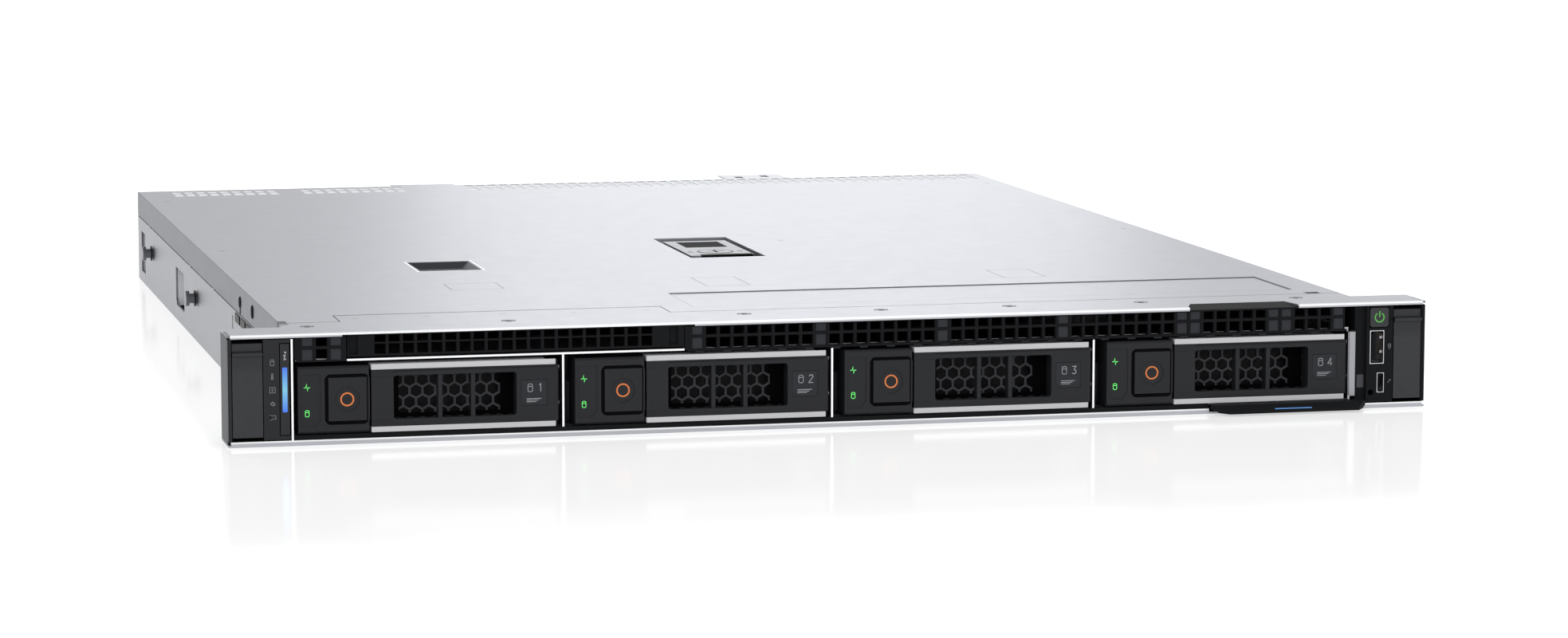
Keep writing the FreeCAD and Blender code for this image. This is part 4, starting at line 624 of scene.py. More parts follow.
@dataclass(frozen=True)
class BraidedSleeve(Finish):
    """Woven polyester sleeve over the leads."""

    other: str = "#0B0B0C"
    thread: float = 0.9
    spread: float = 0.1
    deep: float = 0.12

    def detail(self, tree: Tree, shader: Node) -> None:
        """Threads cross each other in small diamonds.

        Args:
            tree: tree of the material.
            shader: its surface shader.
        """
        pitch = (self.thread, self.thread * 2, self.thread)
        weave = add(tree, "ShaderNodeTexChecker", {"Vector": self.grid(tree, pitch), "Scale": 1.0})
        self.mottle(tree, shader, weave.outputs["Fac"], self.other, self.spread)
        self.relief(tree, shader, weave.outputs["Fac"], self.deep)


# Electro-galvanised steel, rolled and lightly oiled: a bright satin that carries soft, long reflections.
ZINC = ZincSheet("zinc_plated_steel", "zinc_steel", "#B9BABF", 0.34, 1.0, rim="#E8E9EB")
# Painted shade: a greyer, duller copy of the same steel for the narrow bays, where it only mirrors its own
# walls.
ZINC_PAINTED_SHADE = ZincSheet("zinc_plated_steel_in_shade", "zinc_steel", "#A9ABB0", 0.42, 1.0, rim="#C4C5C8",
                      other="#94969B")
# Painted light: a pale, matt copy of the zinc for the baffles, window reveals and vent screens, so openings
# read light grey.
ZINC_PAINTED_LIGHT = ZincSheet("pale_zinc_painted_light", "zinc_steel", "#E6E7EA", 0.6, 0.1, other="#DCDDE0")
# Black passivated zinc on the ears' brackets: a dark smoky sheen beside the bright body.
EAR_PLATE = PlainMetal("dark_plated_ear", "zinc_steel", "#484A4F", 0.45, 1.0, other="#414348")
# Tumbled zinc on the cover's lever and its lock: a shade darker than the sheet round them.
LEVER = ZincSheet("zinc_plated_lever", "zinc_steel", "#A0A1A6", 0.42, 1.0, other="#989A9F")
# The tray's steel, with painted shade on its flanks, darker painted shade just below the cover's skirt, and
# a painted highlight on its front lip.
TRAY = TraySheet("zinc_plated_tray", "zinc_steel", "#B9BABF", 0.4, 1.0, fold_above=1.3)
# Zinc-plated edge rolled round a mandrel: one soft highlight runs down its length.
POST = PlainMetal("rolled_zinc_edge", "zinc_steel", "#A6A7AC", 0.35, 1.0, other="#9C9DA2")
# The cover's steel: painted shade on the outlines of shallow steps, on seams, fold edges and punched holes,
# a painted dark dimple, and painted highlight on its rim and the vents' sheared walls.
COVER = CoverSheet(
    "zinc_plated_cover", "zinc_steel", "#B9BABF", 0.34, 1.0, rim="#E8E9EB",
    pressed=((-133.7, 104.7, -112.0, 126.0), (-29.0, 93.7, -10.7, 124.7), (99.0, 94.7, 117.0, 123.0),
             (-49.7, 27.3, 202.0, 73.7)),
    punched=((40.8, 257.5, 43.2, 258.6), (-209.2, 497.4, -206.8, 498.6), (206.8, 497.4, 209.2, 498.6),
             (-209.2, 270.4, -206.8, 271.6), (206.8, 270.4, 209.2, 271.6), (-217.1, 11.0, -213.9, 18.0)),
    seams=((-217.1, 12.0, -216.7, 569.1), (216.7, 12.0, 217.1, 569.1), (-217.0, 11.9, -193.0, 12.4),
           (-62.7, 11.9, 217.0, 12.4), (-193.0, 31.3, -62.7, 31.9), (-193.5, 11.9, -193.0, 31.9),
           (-62.7, 11.9, -62.2, 31.9)),
    rims=((-136.6, 173.0, -108.1, 209.6),), dishes=((-136.0, 173.5, -108.7, 209.0),))
# The fixed strip's steel, with painted shade in its row of punched slots, a corner notch, the ears' outer
# edges and its seam, and a painted highlight on its front fold.
STRIP = CoverSheet(
    "zinc_plated_strip", "zinc_steel", "#B9BABF", 0.34, 1.0, rim="#E8E9EB", dark="#77797E",
    punched=tuple((across - 1.3, 20.3, across + 1.3, 21.1)
                  for across in (-186.3, -157.7, -128.0, -99.3, -70.3))
    + ((-217.1, 6.0, -213.9, 12.1), (-241.2, -22.2, -240.0, -8.0), (240.0, -22.2, 241.2, -8.0)),
    seams=((-193.0, 30.2, -62.7, 31.0),), fold_above=41.9, fold=0.4)
# Black ABS from a spark-eroded mould: nearly matt, so it stays dark under even light.
ABS = MouldedPlastic("moulded_black_abs", "black_plastic", "#222327", 0.42, other="#27282C", specular=0.27)
# The same plastic from a coarser mould, on the grille and the tag: a matt black that hardly shines.
ABS_MATT = MouldedPlastic("moulded_black_grille", "black_plastic", "#18191B", 0.6, other="#1D1E20",
                          specular=0.1)
# Unlit depth of moulded recesses: near black, so a gap reads as a gap.
ABS_DEEP = MouldedPlastic("moulded_black_abs_recess", "black_plastic", "#060607", 0.6, other="#0A0A0B",
                          specular=0.04)
# Charcoal ABS of ribs, plates and connector tongues: one step lighter than what carries it.
ABS_PALE = MouldedPlastic("moulded_charcoal_abs", "black_plastic", "#2C2D31", 0.45, other="#323338",
                          specular=0.25)
# Thin moulded webs and edges that catch the light: dark grey lines on black.
ABS_LINE = MouldedPlastic("moulded_grey_edge", "black_plastic", "#515257", 0.45, other="#55565B",
                          specular=0.3)
# Closed cells of the grille, polished by their mould: a faintly cool dark grey.
ABS_BLUE = MouldedPlastic("moulded_blind_cell", "black_plastic", "#2D2E34", 0.45, other="#313238",
                          specular=0.3)
# ABS from an etched mould: a leather grain that breaks up the light where a finger pulls the latch.
GRAINED = GrainedPlastic("leather_grained_abs", "grained_black", "#28292C", 0.42, specular=0.38)
# Dyed grey ABS of the power key: soft and even, lighter than its panel.
KEY_GREY = MouldedPlastic("moulded_grey_key", "grey_key", "#3A3B3D", 0.42, other="#404143", specular=0.3)
# Key under a thin clear coat: black with a smoother shine than the panel beside it.
LIGHT_KEY = MouldedPlastic("moulded_key_clear_coat", "light_bar", "#232428", 0.3, other="#28292D",
                           specular=0.3)
# Silver lacquer on the moulded rails of the carrier levers: an even, pale satin with no metal's mirror.
SILVER = SatinPaint("silver_painted_trim", "silver_trim", "#E9E9EC", 0.35, other="#DEDEE2")
# Die-cast drive bodies under black electrocoat: a fine pebbled black.
CASTING = PlainMetal("black_coated_casting", "drive_casting", "#17181A", 0.5, other="#1D1E20",
                     grain=(0.6, 0.6, 0.6), specular=0.3)
# Bright rolled sheet of the supplies' shells: paler than the housing, with long grain.
SUPPLY = PlainMetal("bright_supply_sheet", "supply_shell", "#C9CBCF", 0.36, 1.0, other="#B8BABE")
# Extruded aluminium: the die leaves fine lines along the fins and a cool, light grey.
HEATSINK = PlainMetal("extruded_aluminium", "heatsink_metal", "#D6D8DC", 0.38, 1.0, other="#C4C6CA")
# Bright nickel over drawn shells: the sharpest reflections on the object, as thin light outlines.
NICKEL = PlainMetal("nickel_plated_shell", "port_metal", "#D6D7DA", 0.25, 1.0, other="#C2C3C6")
# Blackened steel of screws and brackets: dark with a metal's edge.
DARK_STEEL = PlainMetal("blackened_steel", "dark_steel", "#34353A", 0.4, 0.9, other="#232428")
# Barrel-plated screws: a grainy mid grey, so the heads read as dots on the bright strip.
SCREW = PlainMetal("zinc_plated_screw", "zinc_steel", "#8E9095", 0.35, 1.0, other="#808287",
                   grain=(0.8, 0.8, 0.8))
# Tempered spring steel with its blue-black skin: fingers stay dark in their openings, and the same tone
# makes painted shadow rings at the studs' bases.
SPRING = PlainMetal("dark_spring_steel", "dark_steel", "#232427", 0.45, 0.8, other="#1B1C1F")
# Studs turned on a lathe: a clean mid grey with a tight highlight.
STUD = PlainMetal("turned_steel_stud", "dark_steel", "#7A7B80", 0.3, 1.0, other="#5F6065")
# Gold flash over the contacts: small warm glints in dark openings.
GOLD = PlainMetal("gold_plated_contacts", "port_metal", "#D8B25A", 0.3, 1.0, other="#BF9A48")
# Green solder mask over glass epoxy: glossy and deep, with lighter tracks below it.
BOARD = CircuitBoard("green_circuit_board", "circuit_board", "#0E4A2B", 0.35)
# Transfer-moulded epoxy of chips and sockets: a dull, slightly warm black.
PARTS = MouldedPlastic("black_epoxy_parts", "component_plastic", "#17181A", 0.5, other="#202124",
                       specular=0.3)
# Undyed nylon of plug housings and pale parts: ivory specks on the green board.
SOCKET_WHITE = MouldedPlastic("nylon_plug_housing", "component_plastic", "#C9C4B4", 0.5, other="#D2CDBE")
# Braided polyester over the leads: a matt, dry black with a small diamond weave.
SLEEVE = BraidedSleeve("braided_lead_sleeve", "cable_sleeve", "#1E1F21", 0.6, specular=0.3)
# Screen-printed orange for what a hand may touch: warm and flat on the black buttons.
ORANGE = SatinPaint("touch_point_orange", "black_plastic", "#FF9450", 0.4, other="#FB8A48")
# Pad-printed inks: thin flat marks, grey on the panels and paler on the keys and labels.
PRINT_GREY = SatinPaint("printed_grey_marks", "black_plastic", "#8F9095", 0.5, other="#86878C")
PRINT_PALE = SatinPaint("printed_pale_marks", "light_bar", "#C5C6CA", 0.5, other="#B8B9BD")
PRINT_BLUE = SatinPaint("printed_blue_line", "black_plastic", "#6FA6EC", 0.4, other="#659CE2")
# The dark ink's tone also fills the lock's cross slots as painted shade.
PRINT_DARK_AND_SHADE = SatinPaint("printed_dark_marks_and_painted_shade", "dark_steel", "#2A2B2D", 0.5, other="#333436")
# Terracotta dye in the levers that release the supplies: matt, and easy to find on the pale rear.
RELEASE = MouldedPlastic("terracotta_release_lever", "black_plastic", "#B4552F", 0.45, other="#AB4F2B")
# Clear acrylic light guides: they glow evenly without lighting what is round them.
GREEN_LAMP = Lamp("green_lamp", "black_plastic", "#5BE866", 0.4, core="#66EC70", power=1.15, middle=20.0,
                  half=20.0)
POWER_LAMP = Lamp("power_symbol_lamp", "grey_key", "#4DB03C", 0.4, core="#57B846", power=1.0, middle=35.5,
                  half=4.0)
AMBER_LAMP = Lamp("amber_lamp", "port_metal", "#E8A13A", 0.4, core="#F0B450", power=0.5, middle=18.0,
                  half=12.0)

FINISH_OF_SLOT: dict[str, Finish] = {
    finish.slot: finish for finish in (ZINC, ABS, GRAINED, KEY_GREY, LIGHT_KEY, SILVER, CASTING, SUPPLY,
                                       HEATSINK, NICKEL, DARK_STEEL, BOARD, PARTS, SLEEVE)
}


# ------------------------------------------------------------------ meshes
class Sketch:
    """A mesh in the making, in millimetres of the frame."""

    def __init__(self) -> None:
        """Start with an empty mesh."""
        self.mesh = bmesh.new()

    def prism(self, outline: Sequence[Point], plane: Plane, base: float, top: float) -> Sketch:
        """Solid over a closed outline.

        Args:
            outline: corners in the plane's two axes.
            plane: the side on which the outline is drawn.
            base: where the solid starts along the plane's outward axis.
            top: where it ends.

        Returns:
            The sketch itself, so that calls can be chained.
        """
        rings = [[self.mesh.verts.new(plane.value @ Vector((across, up, out))) for across, up in outline]
                 for out in (base, top)]
        made = [self.mesh.faces.new(rings[0]), self.mesh.faces.new(rings[1])]
        for number in range(len(outline)):
            after = (number + 1) % len(outline)
            made.append(self.mesh.faces.new((rings[0][number], rings[0][after], rings[1][after],
                                             rings[1][number])))
        bmesh.ops.recalc_face_normals(self.mesh, faces=made)
        return self

    def bar(self, low: Place, high: Place) -> Sketch:
        """Rectangular solid between two corners."""
        outline = ((low[0], low[1]), (high[0], low[1]), (high[0], high[1]), (low[0], high[1]))
        return self.prism(outline, Plane.TOP, low[2], high[2])

    def band(self, centre: Point, outer: float, inner: float, plane: Plane, base: float, top: float,
             start: float = 0.0, sweep: float = 360.0, steps: int = 40) -> Sketch:
        """Flat ring or arc with square ends.

        Args:
            centre: middle of the ring in the plane's axes.
            outer: outer radius.
            inner: inner radius.
            plane: the side on which it lies.
            base: where it starts along the outward axis.
            top: where it ends.
            start: first angle in degrees.
            sweep: length of the arc in degrees.
            steps: number of straight pieces.

        Returns:
            The sketch itself.
        """
        whole = sweep >= 360
        count = steps if whole else steps + 1
        columns = []
        for number in range(count):
            turn = math.radians(start + sweep * number / steps)
            across, up = math.cos(turn), math.sin(turn)
            column = [plane.value @ Vector((centre[0] + radius * across, centre[1] + radius * up, out))
                      for radius, out in ((outer, base), (outer, top), (inner, top), (inner, base))]
            columns.append([self.mesh.verts.new(place) for place in column])
        made = []
        for number in range(steps):
            here, there = columns[number], columns[(number + 1) % count]
            for edge in range(4):
                after = (edge + 1) % 4
                made.append(self.mesh.faces.new((here[edge], here[after], there[after], there[edge])))
        if not whole:
            made += [self.mesh.faces.new(columns[0]), self.mesh.faces.new(columns[-1])]
        bmesh.ops.recalc_face_normals(self.mesh, faces=made)
        return self

    def lathe(self, outline: Sequence[Point], axis: Plane, centre: Point, steps: int = 24) -> Sketch:
        """Solid of revolution about a plane's outward axis.

        Args:
            outline: (radius, height) from the axis back to the axis.
            axis: plane whose outward axis is the axis of turning.
            centre: where that axis stands in the plane.
            steps: number of sides.

        Returns:
            The sketch itself.
        """
        made = []
        rings = []
        for radius, height in outline:
            if radius == 0:
                rings.append([self.mesh.verts.new(axis.value @ Vector((centre[0], centre[1], height)))])
                continue
            ring = []
            for number in range(steps):
                turn = math.tau * number / steps
                ring.append(self.mesh.verts.new(axis.value @ Vector(
                    (centre[0] + radius * math.cos(turn), centre[1] + radius * math.sin(turn), height))))
            rings.append(ring)
        for first, second in zip(rings, rings[1:]):
            for number in range(steps):
                after = (number + 1) % steps
                corners = [first[number % len(first)], first[after % len(first)],
                           second[after % len(second)], second[number % len(second)]]
                unique = list(dict.fromkeys(corners))
                if len(unique) > 2:
                    made.append(self.mesh.faces.new(unique))
        bmesh.ops.recalc_face_normals(self.mesh, faces=made)
        return self

    def stroke(self, route: Sequence[Point], wide: float, plane: Plane, base: float, top: float,
               closed: bool = False) -> Sketch:
        """Drawn line of even width with mitred corners.

        Args:
            route: points of the line in the plane's axes.
            wide: width of the line.
            plane: the side on which it lies.
            base: where it starts along the outward axis.
            top: where it ends.
            closed: join the last point to the first.

        Returns:
            The sketch itself.
        """
        points = [Vector(point) for point in route]
        sides: list[tuple[Vector, Vector]] = []
        for number, point in enumerate(points):
            before = points[number - 1] if number or closed else None
            after = points[(number + 1) % len(points)] if number + 1 < len(points) or closed else None
            ways = []
            if before:
                ways.append((point - before).normalized())
            if after:
                ways.append((after - point).normalized())
            along = sum(ways, Vector((0, 0))).normalized()
            across = Vector((-along.y, along.x))
            lean = max(MITRE, across.dot(Vector((-ways[0].y, ways[0].x))))
            reach = across * (wide / 2 / lean)
            sides.append((point + reach, point - reach))
        count = len(sides)
        for number in range(count if closed else count - 1):
            here, there = sides[number], sides[(number + 1) % count]
            self.prism((here[0], there[0], there[1], here[1]), plane, base, top)
        return self

    def thing(self, name: str) -> bpy.types.Object:
        """Object at the origin with the sketch's mesh, scaled to metres; the sketch ends with it.

        Args:
            name: name of the object.

        Returns:
            The new object.
        """
        bmesh.ops.scale(self.mesh, vec=(MM,) * 3, verts=self.mesh.verts)
        data = bpy.data.meshes.new(name)
        self.mesh.to_mesh(data)
        self.mesh.free()
        made = bpy.data.objects.new(name, data)
        bpy.context.scene.collection.objects.link(made)
        return made

    def finish(self, name: str, finish: Finish, body: str, soften: float = 0.0) -> bpy.types.Object:
        """Turn the sketch into a piece that rides on a body.

        Args:
            name: name of the piece.
            finish: its finish.
            body: CAD body that it moves with.
            soften: radius of a bevel along its edges in millimetres.

        Returns:
            The new object.
        """
        if soften:
            bmesh.ops.remove_doubles(self.mesh, verts=self.mesh.verts, dist=MERGE)
            edges = [edge for edge in self.mesh.edges
                     if edge.is_manifold and edge.calc_face_angle() > SHARP]
            bmesh.ops.bevel(self.mesh, geom=edges, offset=soften, segments=2, affect="EDGES", profile=0.5)
        return dress(self.thing(name), finish, body)


def dress(piece: bpy.types.Object, finish: Finish, body: str) -> bpy.types.Object:
    """Give a piece its material and its body.

    Args:
        piece: the object.
        finish: its finish.
        body: CAD body that it moves with.

    Returns:
        The same object.
    """
    piece.data.materials.clear()
    piece.data.materials.append(finish.material())
    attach(piece, body)
    log.info("%s on %s in %s", piece.name, body, finish.name)
    return piece


def rounded(low: Point, high: Point, radius: float, steps: int = 4) -> list[Point]:
    """Outline of a rectangle with round corners.

    Args:
        low: lower left corner.
        high: upper right corner.
        radius: corner radius.
        steps: straight pieces in each corner.

    Returns:
        Corners of the outline, counter-clockwise.
    """
    centres = ((high[0] - radius, high[1] - radius), (low[0] + radius, high[1] - radius),
               (low[0] + radius, low[1] + radius), (high[0] - radius, low[1] + radius))
    outline = []
    for quarter, (across, up) in enumerate(centres):
        for number in range(steps + 1):
            turn = math.pi / 2 * (quarter + number / steps)
            outline.append((across + radius * math.cos(turn), up + radius * math.sin(turn)))
    return outline


# ------------------------------------------------------------------ repeats by geometry nodes
class Repeat:
    """Geometry node trees that repeat a small solid, each built once and shared."""

    @staticmethod
    def tree(name: str, inputs: Iterable[tuple[str, str, object]]) -> Tree:
        """Empty tree with a geometry output and named inputs.

        Args:
            name: name of the tree.
            inputs: (name, socket type, default) of each input.

        Returns:
            The tree.
        """
        made = bpy.data.node_groups.new(name, "GeometryNodeTree")
        made.interface.new_socket(name="Geometry", in_out="OUTPUT", socket_type="NodeSocketGeometry")
        made.interface.new_socket(name="Geometry", in_out="INPUT", socket_type="NodeSocketGeometry")
        for label, kind, default in inputs:
            socket = made.interface.new_socket(name=label, in_out="INPUT", socket_type=kind)
            if default is not None:
                socket.default_value = default
        return made

    @staticmethod
    def on_points() -> Tree:
        """Tree that puts a template on every vertex, turned about Z by up to the given angle at random.

        Returns:
            The tree.
        """
        known = bpy.data.node_groups.get("template_on_points")
        if known:
            return known
        tree = Repeat.tree("template_on_points", (
            ("Template", "NodeSocketObject", None), ("Turn", "NodeSocketFloat", math.tau),
            ("Seed", "NodeSocketInt", SEED), ("Material", "NodeSocketMaterial", None)))
        source = add(tree, "NodeGroupInput")
        template = add(tree, "GeometryNodeObjectInfo", {"Object": source.outputs["Template"]})
        turn = add(tree, "FunctionNodeRandomValue", {"Seed": source.outputs["Seed"]}, data_type="FLOAT")
        tree.links.new(source.outputs["Turn"], turn.inputs[3])
        angle = add(tree, "ShaderNodeCombineXYZ", {"Z": turn.outputs[1]})
        placed = add(tree, "GeometryNodeInstanceOnPoints", {"Points": source.outputs["Geometry"],
                                                            "Instance": template.outputs["Geometry"],
                                                            "Rotation": angle.outputs[0]})
        return Repeat.close(tree, placed.outputs[0], source)

    @staticmethod
    def in_row() -> Tree:
        """Tree that repeats a bar along a row.

        Returns:
            The tree.
        """
        known = bpy.data.node_groups.get("bars_in_a_row")
        if known:
            return known
        tree = Repeat.tree("bars_in_a_row", (
            ("Count", "NodeSocketInt", 1), ("Start", "NodeSocketVector", None),
            ("Step", "NodeSocketVector", None), ("Size", "NodeSocketVector", None),
            ("Material", "NodeSocketMaterial", None)))
        source = add(tree, "NodeGroupInput")
        bar = add(tree, "GeometryNodeMeshCube", {"Size": source.outputs["Size"]})
        row = add(tree, "GeometryNodeMeshLine", {"Count": source.outputs["Count"],
                                                 "Start Location": source.outputs["Start"],
                                                 "Offset": source.outputs["Step"]}, mode="OFFSET")
        placed = add(tree, "GeometryNodeInstanceOnPoints",
                     {"Points": row.outputs[0], "Instance": bar.outputs[0]})
        return Repeat.close(tree, placed.outputs[0], source)

    @staticmethod
    def close(tree: Tree, placed: Socket, source: Node) -> Tree:
        """End a tree: make instances real, set the material and feed the output.

        Args:
            tree: tree that is ended.
            placed: socket with the placed instances.
            source: the tree's input node.

        Returns:
            The same tree.
        """
        real = add(tree, "GeometryNodeRealizeInstances", {0: placed})
        painted = add(tree, "GeometryNodeSetMaterial", {"Geometry": real.outputs[0],
                                                        "Material": source.outputs["Material"]})
        add(tree, "NodeGroupOutput", {0: painted.outputs[0]})
        return tree

    @staticmethod
    def bake(name: str, tree: Tree, points: Sequence[Place], values: dict[str, object],
             finish: Finish, body: str) -> bpy.types.Object:
        """Run a tree on points and keep the result as a plain piece.

        Args:
            name: name of the piece.
            tree: one of this class's trees.
            points: places in millimetres that become the vertices.
            values: value of each named input.
            finish: finish of the repeated solid.
            body: CAD body that it moves with.

        Returns:
            The finished piece.
        """
        seedbed = bpy.data.meshes.new(name + "_points")
        seedbed.from_pydata([tuple(value * MM for value in place) for place in points], [], [])
        carrier = bpy.data.objects.new(name, seedbed)
        bpy.context.scene.collection.objects.link(carrier)
        modifier = carrier.modifiers.new("repeat", "NODES")
        modifier.node_group = tree
        values = {**values, "Material": finish.material()}
        for item in tree.interface.items_tree:
            if item.in_out == "INPUT" and item.name in values:
                modifier[item.identifier] = values[item.name]
        bpy.context.view_layer.update()
        graph = bpy.context.evaluated_depsgraph_get()
        carrier_data = bpy.data.meshes.new_from_object(carrier.evaluated_get(graph))
        carrier.modifiers.clear()
        carrier.data = carrier_data
        return dress(carrier, finish, body)

    @staticmethod
    def bars(name: str, start: Place, size: Place, step: Place, count: int, finish: Finish,
             body: str) -> bpy.types.Object:
        """Row of equal bars.

        Args:
            name: name of the piece.
            start: centre of the first bar.
            size: size of one bar.
            step: way from one bar to the next.
            count: number of bars.
            finish: their finish.
            body: CAD body that they move with.

        Returns:
            The finished piece.
        """
        scaled = {label: tuple(value * MM for value in what)
                  for label, what in (("Start", start), ("Size", size), ("Step", step))}
        return Repeat.bake(name, Repeat.in_row(), [(0, 0, 0)], {**scaled, "Count": count}, finish, body)

    @staticmethod
    def copies(name: str, places: Sequence[Place], sketch: Sketch, finish: Finish, body: str,
               turn: float = 0.0) -> bpy.types.Object:
        """Copies of a small solid on listed places.

        Args:
            name: name of the piece.
            places: where the copies stand, in millimetres.
            sketch: the solid, drawn about the origin.
            finish: their finish.
            body: CAD body that they move with.
            turn: largest turn about Z in radians, drawn at random for each copy.

        Returns:
            The finished piece.
        """
        source = sketch.thing(f"{name}_template")
        values = {"Template": source, "Turn": turn, "Seed": SEED}
        piece = Repeat.bake(name, Repeat.on_points(), places, values, finish, body)
        bpy.data.objects.remove(source)
        return piece


def cross_screw(head: float, dish: float, wide: float = 0.32) -> Sketch:
    """Small countersunk screw with a cross recess.

    Args:
        head: radius of its head.
        dish: depth of its recess.
        wide: half the width of a slot of the cross.

    Returns:
        The sketch of one screw, its head's rim at nought.
    """
    sketch = Sketch()
    foot, chamfer, crown = -0.5, -0.12, 0.02
    sketch.lathe(((0, -dish), (head * 0.45, -dish), (head * 0.6, 0), (head * 0.9, crown), (head, chamfer),
                  (head, foot), (0, foot)), Plane.TOP, (0, 0), 20)
    reach = head * 0.42
    for across, up in ((reach, wide), (wide, reach)):
        sketch.bar((-across, -up, foot), (across, up, PROUD - dish))
    return sketch


# ------------------------------------------------------------------ pictograms
class Mark(Enum):
    """Plain pictograms, each a list of (closed, points) strokes in a 1 by 1 field."""

    PULSE = ((False, ((-0.5, -0.02), (-0.18, -0.02), (-0.06, 0.5), (0.06, -0.5), (0.16, -0.02),
                      (0.5, -0.02))),)
    DRIVE = ((True, ((-0.3, -0.38), (-0.15, -0.5), (0.15, -0.5), (0.3, -0.38), (0.3, 0.38), (0.15, 0.5),
                     (-0.15, 0.5), (-0.3, 0.38))),
             (False, ((-0.3, 0.3), (-0.15, 0.18), (0.15, 0.18), (0.3, 0.3))))
    HEAT = ((True, ((-0.1, -0.12), (-0.1, 0.46), (0.1, 0.46), (0.1, -0.12), (0.2, -0.3), (0.1, -0.48),
                    (-0.1, -0.48), (-0.2, -0.3))),
            (False, ((0.0, -0.3), (0.0, 0.15))))
    SUPPLY = ((True, ((-0.45, -0.45), (0.45, -0.45), (0.45, 0.45), (-0.45, 0.45))),
              (False, ((0.08, 0.26), (-0.1, 0.0), (0.1, 0.0), (-0.08, -0.26))))
    MEMORY = ((True, ((-0.36, -0.02), (0.0, -0.34), (0.36, 0.02), (0.0, 0.34))),
              (False, ((0.12, -0.4), (0.46, -0.06))),
              (False, ((-0.16, -0.02), (0.1, 0.22))))
    CARD = ((False, ((-0.5, 0.42), (-0.34, 0.42), (-0.34, -0.5))),
            (True, ((-0.34, -0.26), (0.5, -0.26), (0.5, 0.3), (-0.34, 0.3))))
    SERVICE = ((False, ((-0.3, -0.34), (0.3, 0.34))), (False, ((0.12, 0.42), (0.3, 0.34), (0.42, 0.14))))
    LOCK = ((True, ((-0.34, -0.5), (0.34, -0.5), (0.34, 0.06), (-0.34, 0.06))),
            (False, ((-0.2, 0.06), (-0.2, 0.36), (-0.08, 0.5), (0.08, 0.5), (0.2, 0.36), (0.2, 0.06))))
    OPEN = ((True, ((-0.34, -0.5), (0.34, -0.5), (0.34, 0.06), (-0.34, 0.06))),
            (False, ((0.2, 0.06), (0.2, 0.36), (0.32, 0.5), (0.48, 0.5), (0.6, 0.36), (0.6, 0.2))))
    ONE = ((False, ((-0.16, 0.34), (0.04, 0.5), (0.04, -0.5))),)
    TWO = ((False, ((-0.26, 0.34), (-0.1, 0.5), (0.16, 0.5), (0.28, 0.3), (-0.28, -0.5), (0.3, -0.5))),)
    THREE = ((False, ((-0.26, 0.5), (0.28, 0.5), (0.0, 0.1), (0.28, -0.1), (0.24, -0.38), (0.0, -0.5),
                      (-0.28, -0.4))),)
    FOUR = ((False, ((0.12, -0.5), (0.12, 0.5), (-0.3, -0.2), (0.32, -0.2))),)
    PLUG = ((True, ((-0.2, -0.1), (0.2, -0.1), (0.2, 0.3), (-0.2, 0.3))),
            (False, ((0.0, -0.1), (0.0, -0.5))),
            (False, ((-0.09, 0.3), (-0.09, 0.5))), (False, ((0.09, 0.3), (0.09, 0.5))))

    def draw(self, sketch: Sketch, centre: Point, size: float, line: float, plane: Plane, out: float,
             high: float = PROUD) -> Sketch:
        """Add the pictogram to a sketch.

        Args:
            sketch: sketch that gets it.
            centre: its middle in the plane's axes.
            size: height of its field.
            line: width of its strokes.
            plane: the side on which it lies.
            out: surface that carries it.
            high: thickness of the print.

        Returns:
            The sketch.
        """
        for closed, route in self.value:
            points = [(centre[0] + across * size, centre[1] + up * size) for across, up in route]
            sketch.stroke(points, line, plane, out - SINK, out + high, closed)
        return sketch


# ------------------------------------------------------------------ sub-assemblies
@dataclass
class Frame:
    """CAD nodes of the frame, with the finishes that differ from their slot's own."""

    record: dict
    nodes: dict
    own: dict[str, Finish] = field(default_factory=lambda: {
        "top_cover": COVER, "front_top_strip": STRIP, "chassis_tray": TRAY, "rack_ears": EAR_PLATE,
        "power_bay_walls": ZINC_PAINTED_SHADE, "rail_studs": STUD, "cover_latch": LEVER, "cover_lock": LEVER,
        "front_grilles": ABS_MATT, "optical_bay_blank": ABS_MATT, "information_tag": ABS_MATT,
        "right_control_housing": ABS_MATT, "fan_frames": ABS, "air_shroud": ABS,
        "supply_lever_1": RELEASE, "supply_lever_2": RELEASE})

    def dress(self) -> None:
        """Give every CAD node the finish of its slot or one of its own."""
        for row in self.record["subparts"]:
            node = self.nodes[row["node"]]
            finish = self.own.get(row["node"], FINISH_OF_SLOT[row["material_slot"]])
            node.data.materials.clear()
            node.data.materials.append(finish.material())
            for face in node.data.polygons:
                face.material_index = 0
            log.info("%s in %s", row["node"], finish.name)


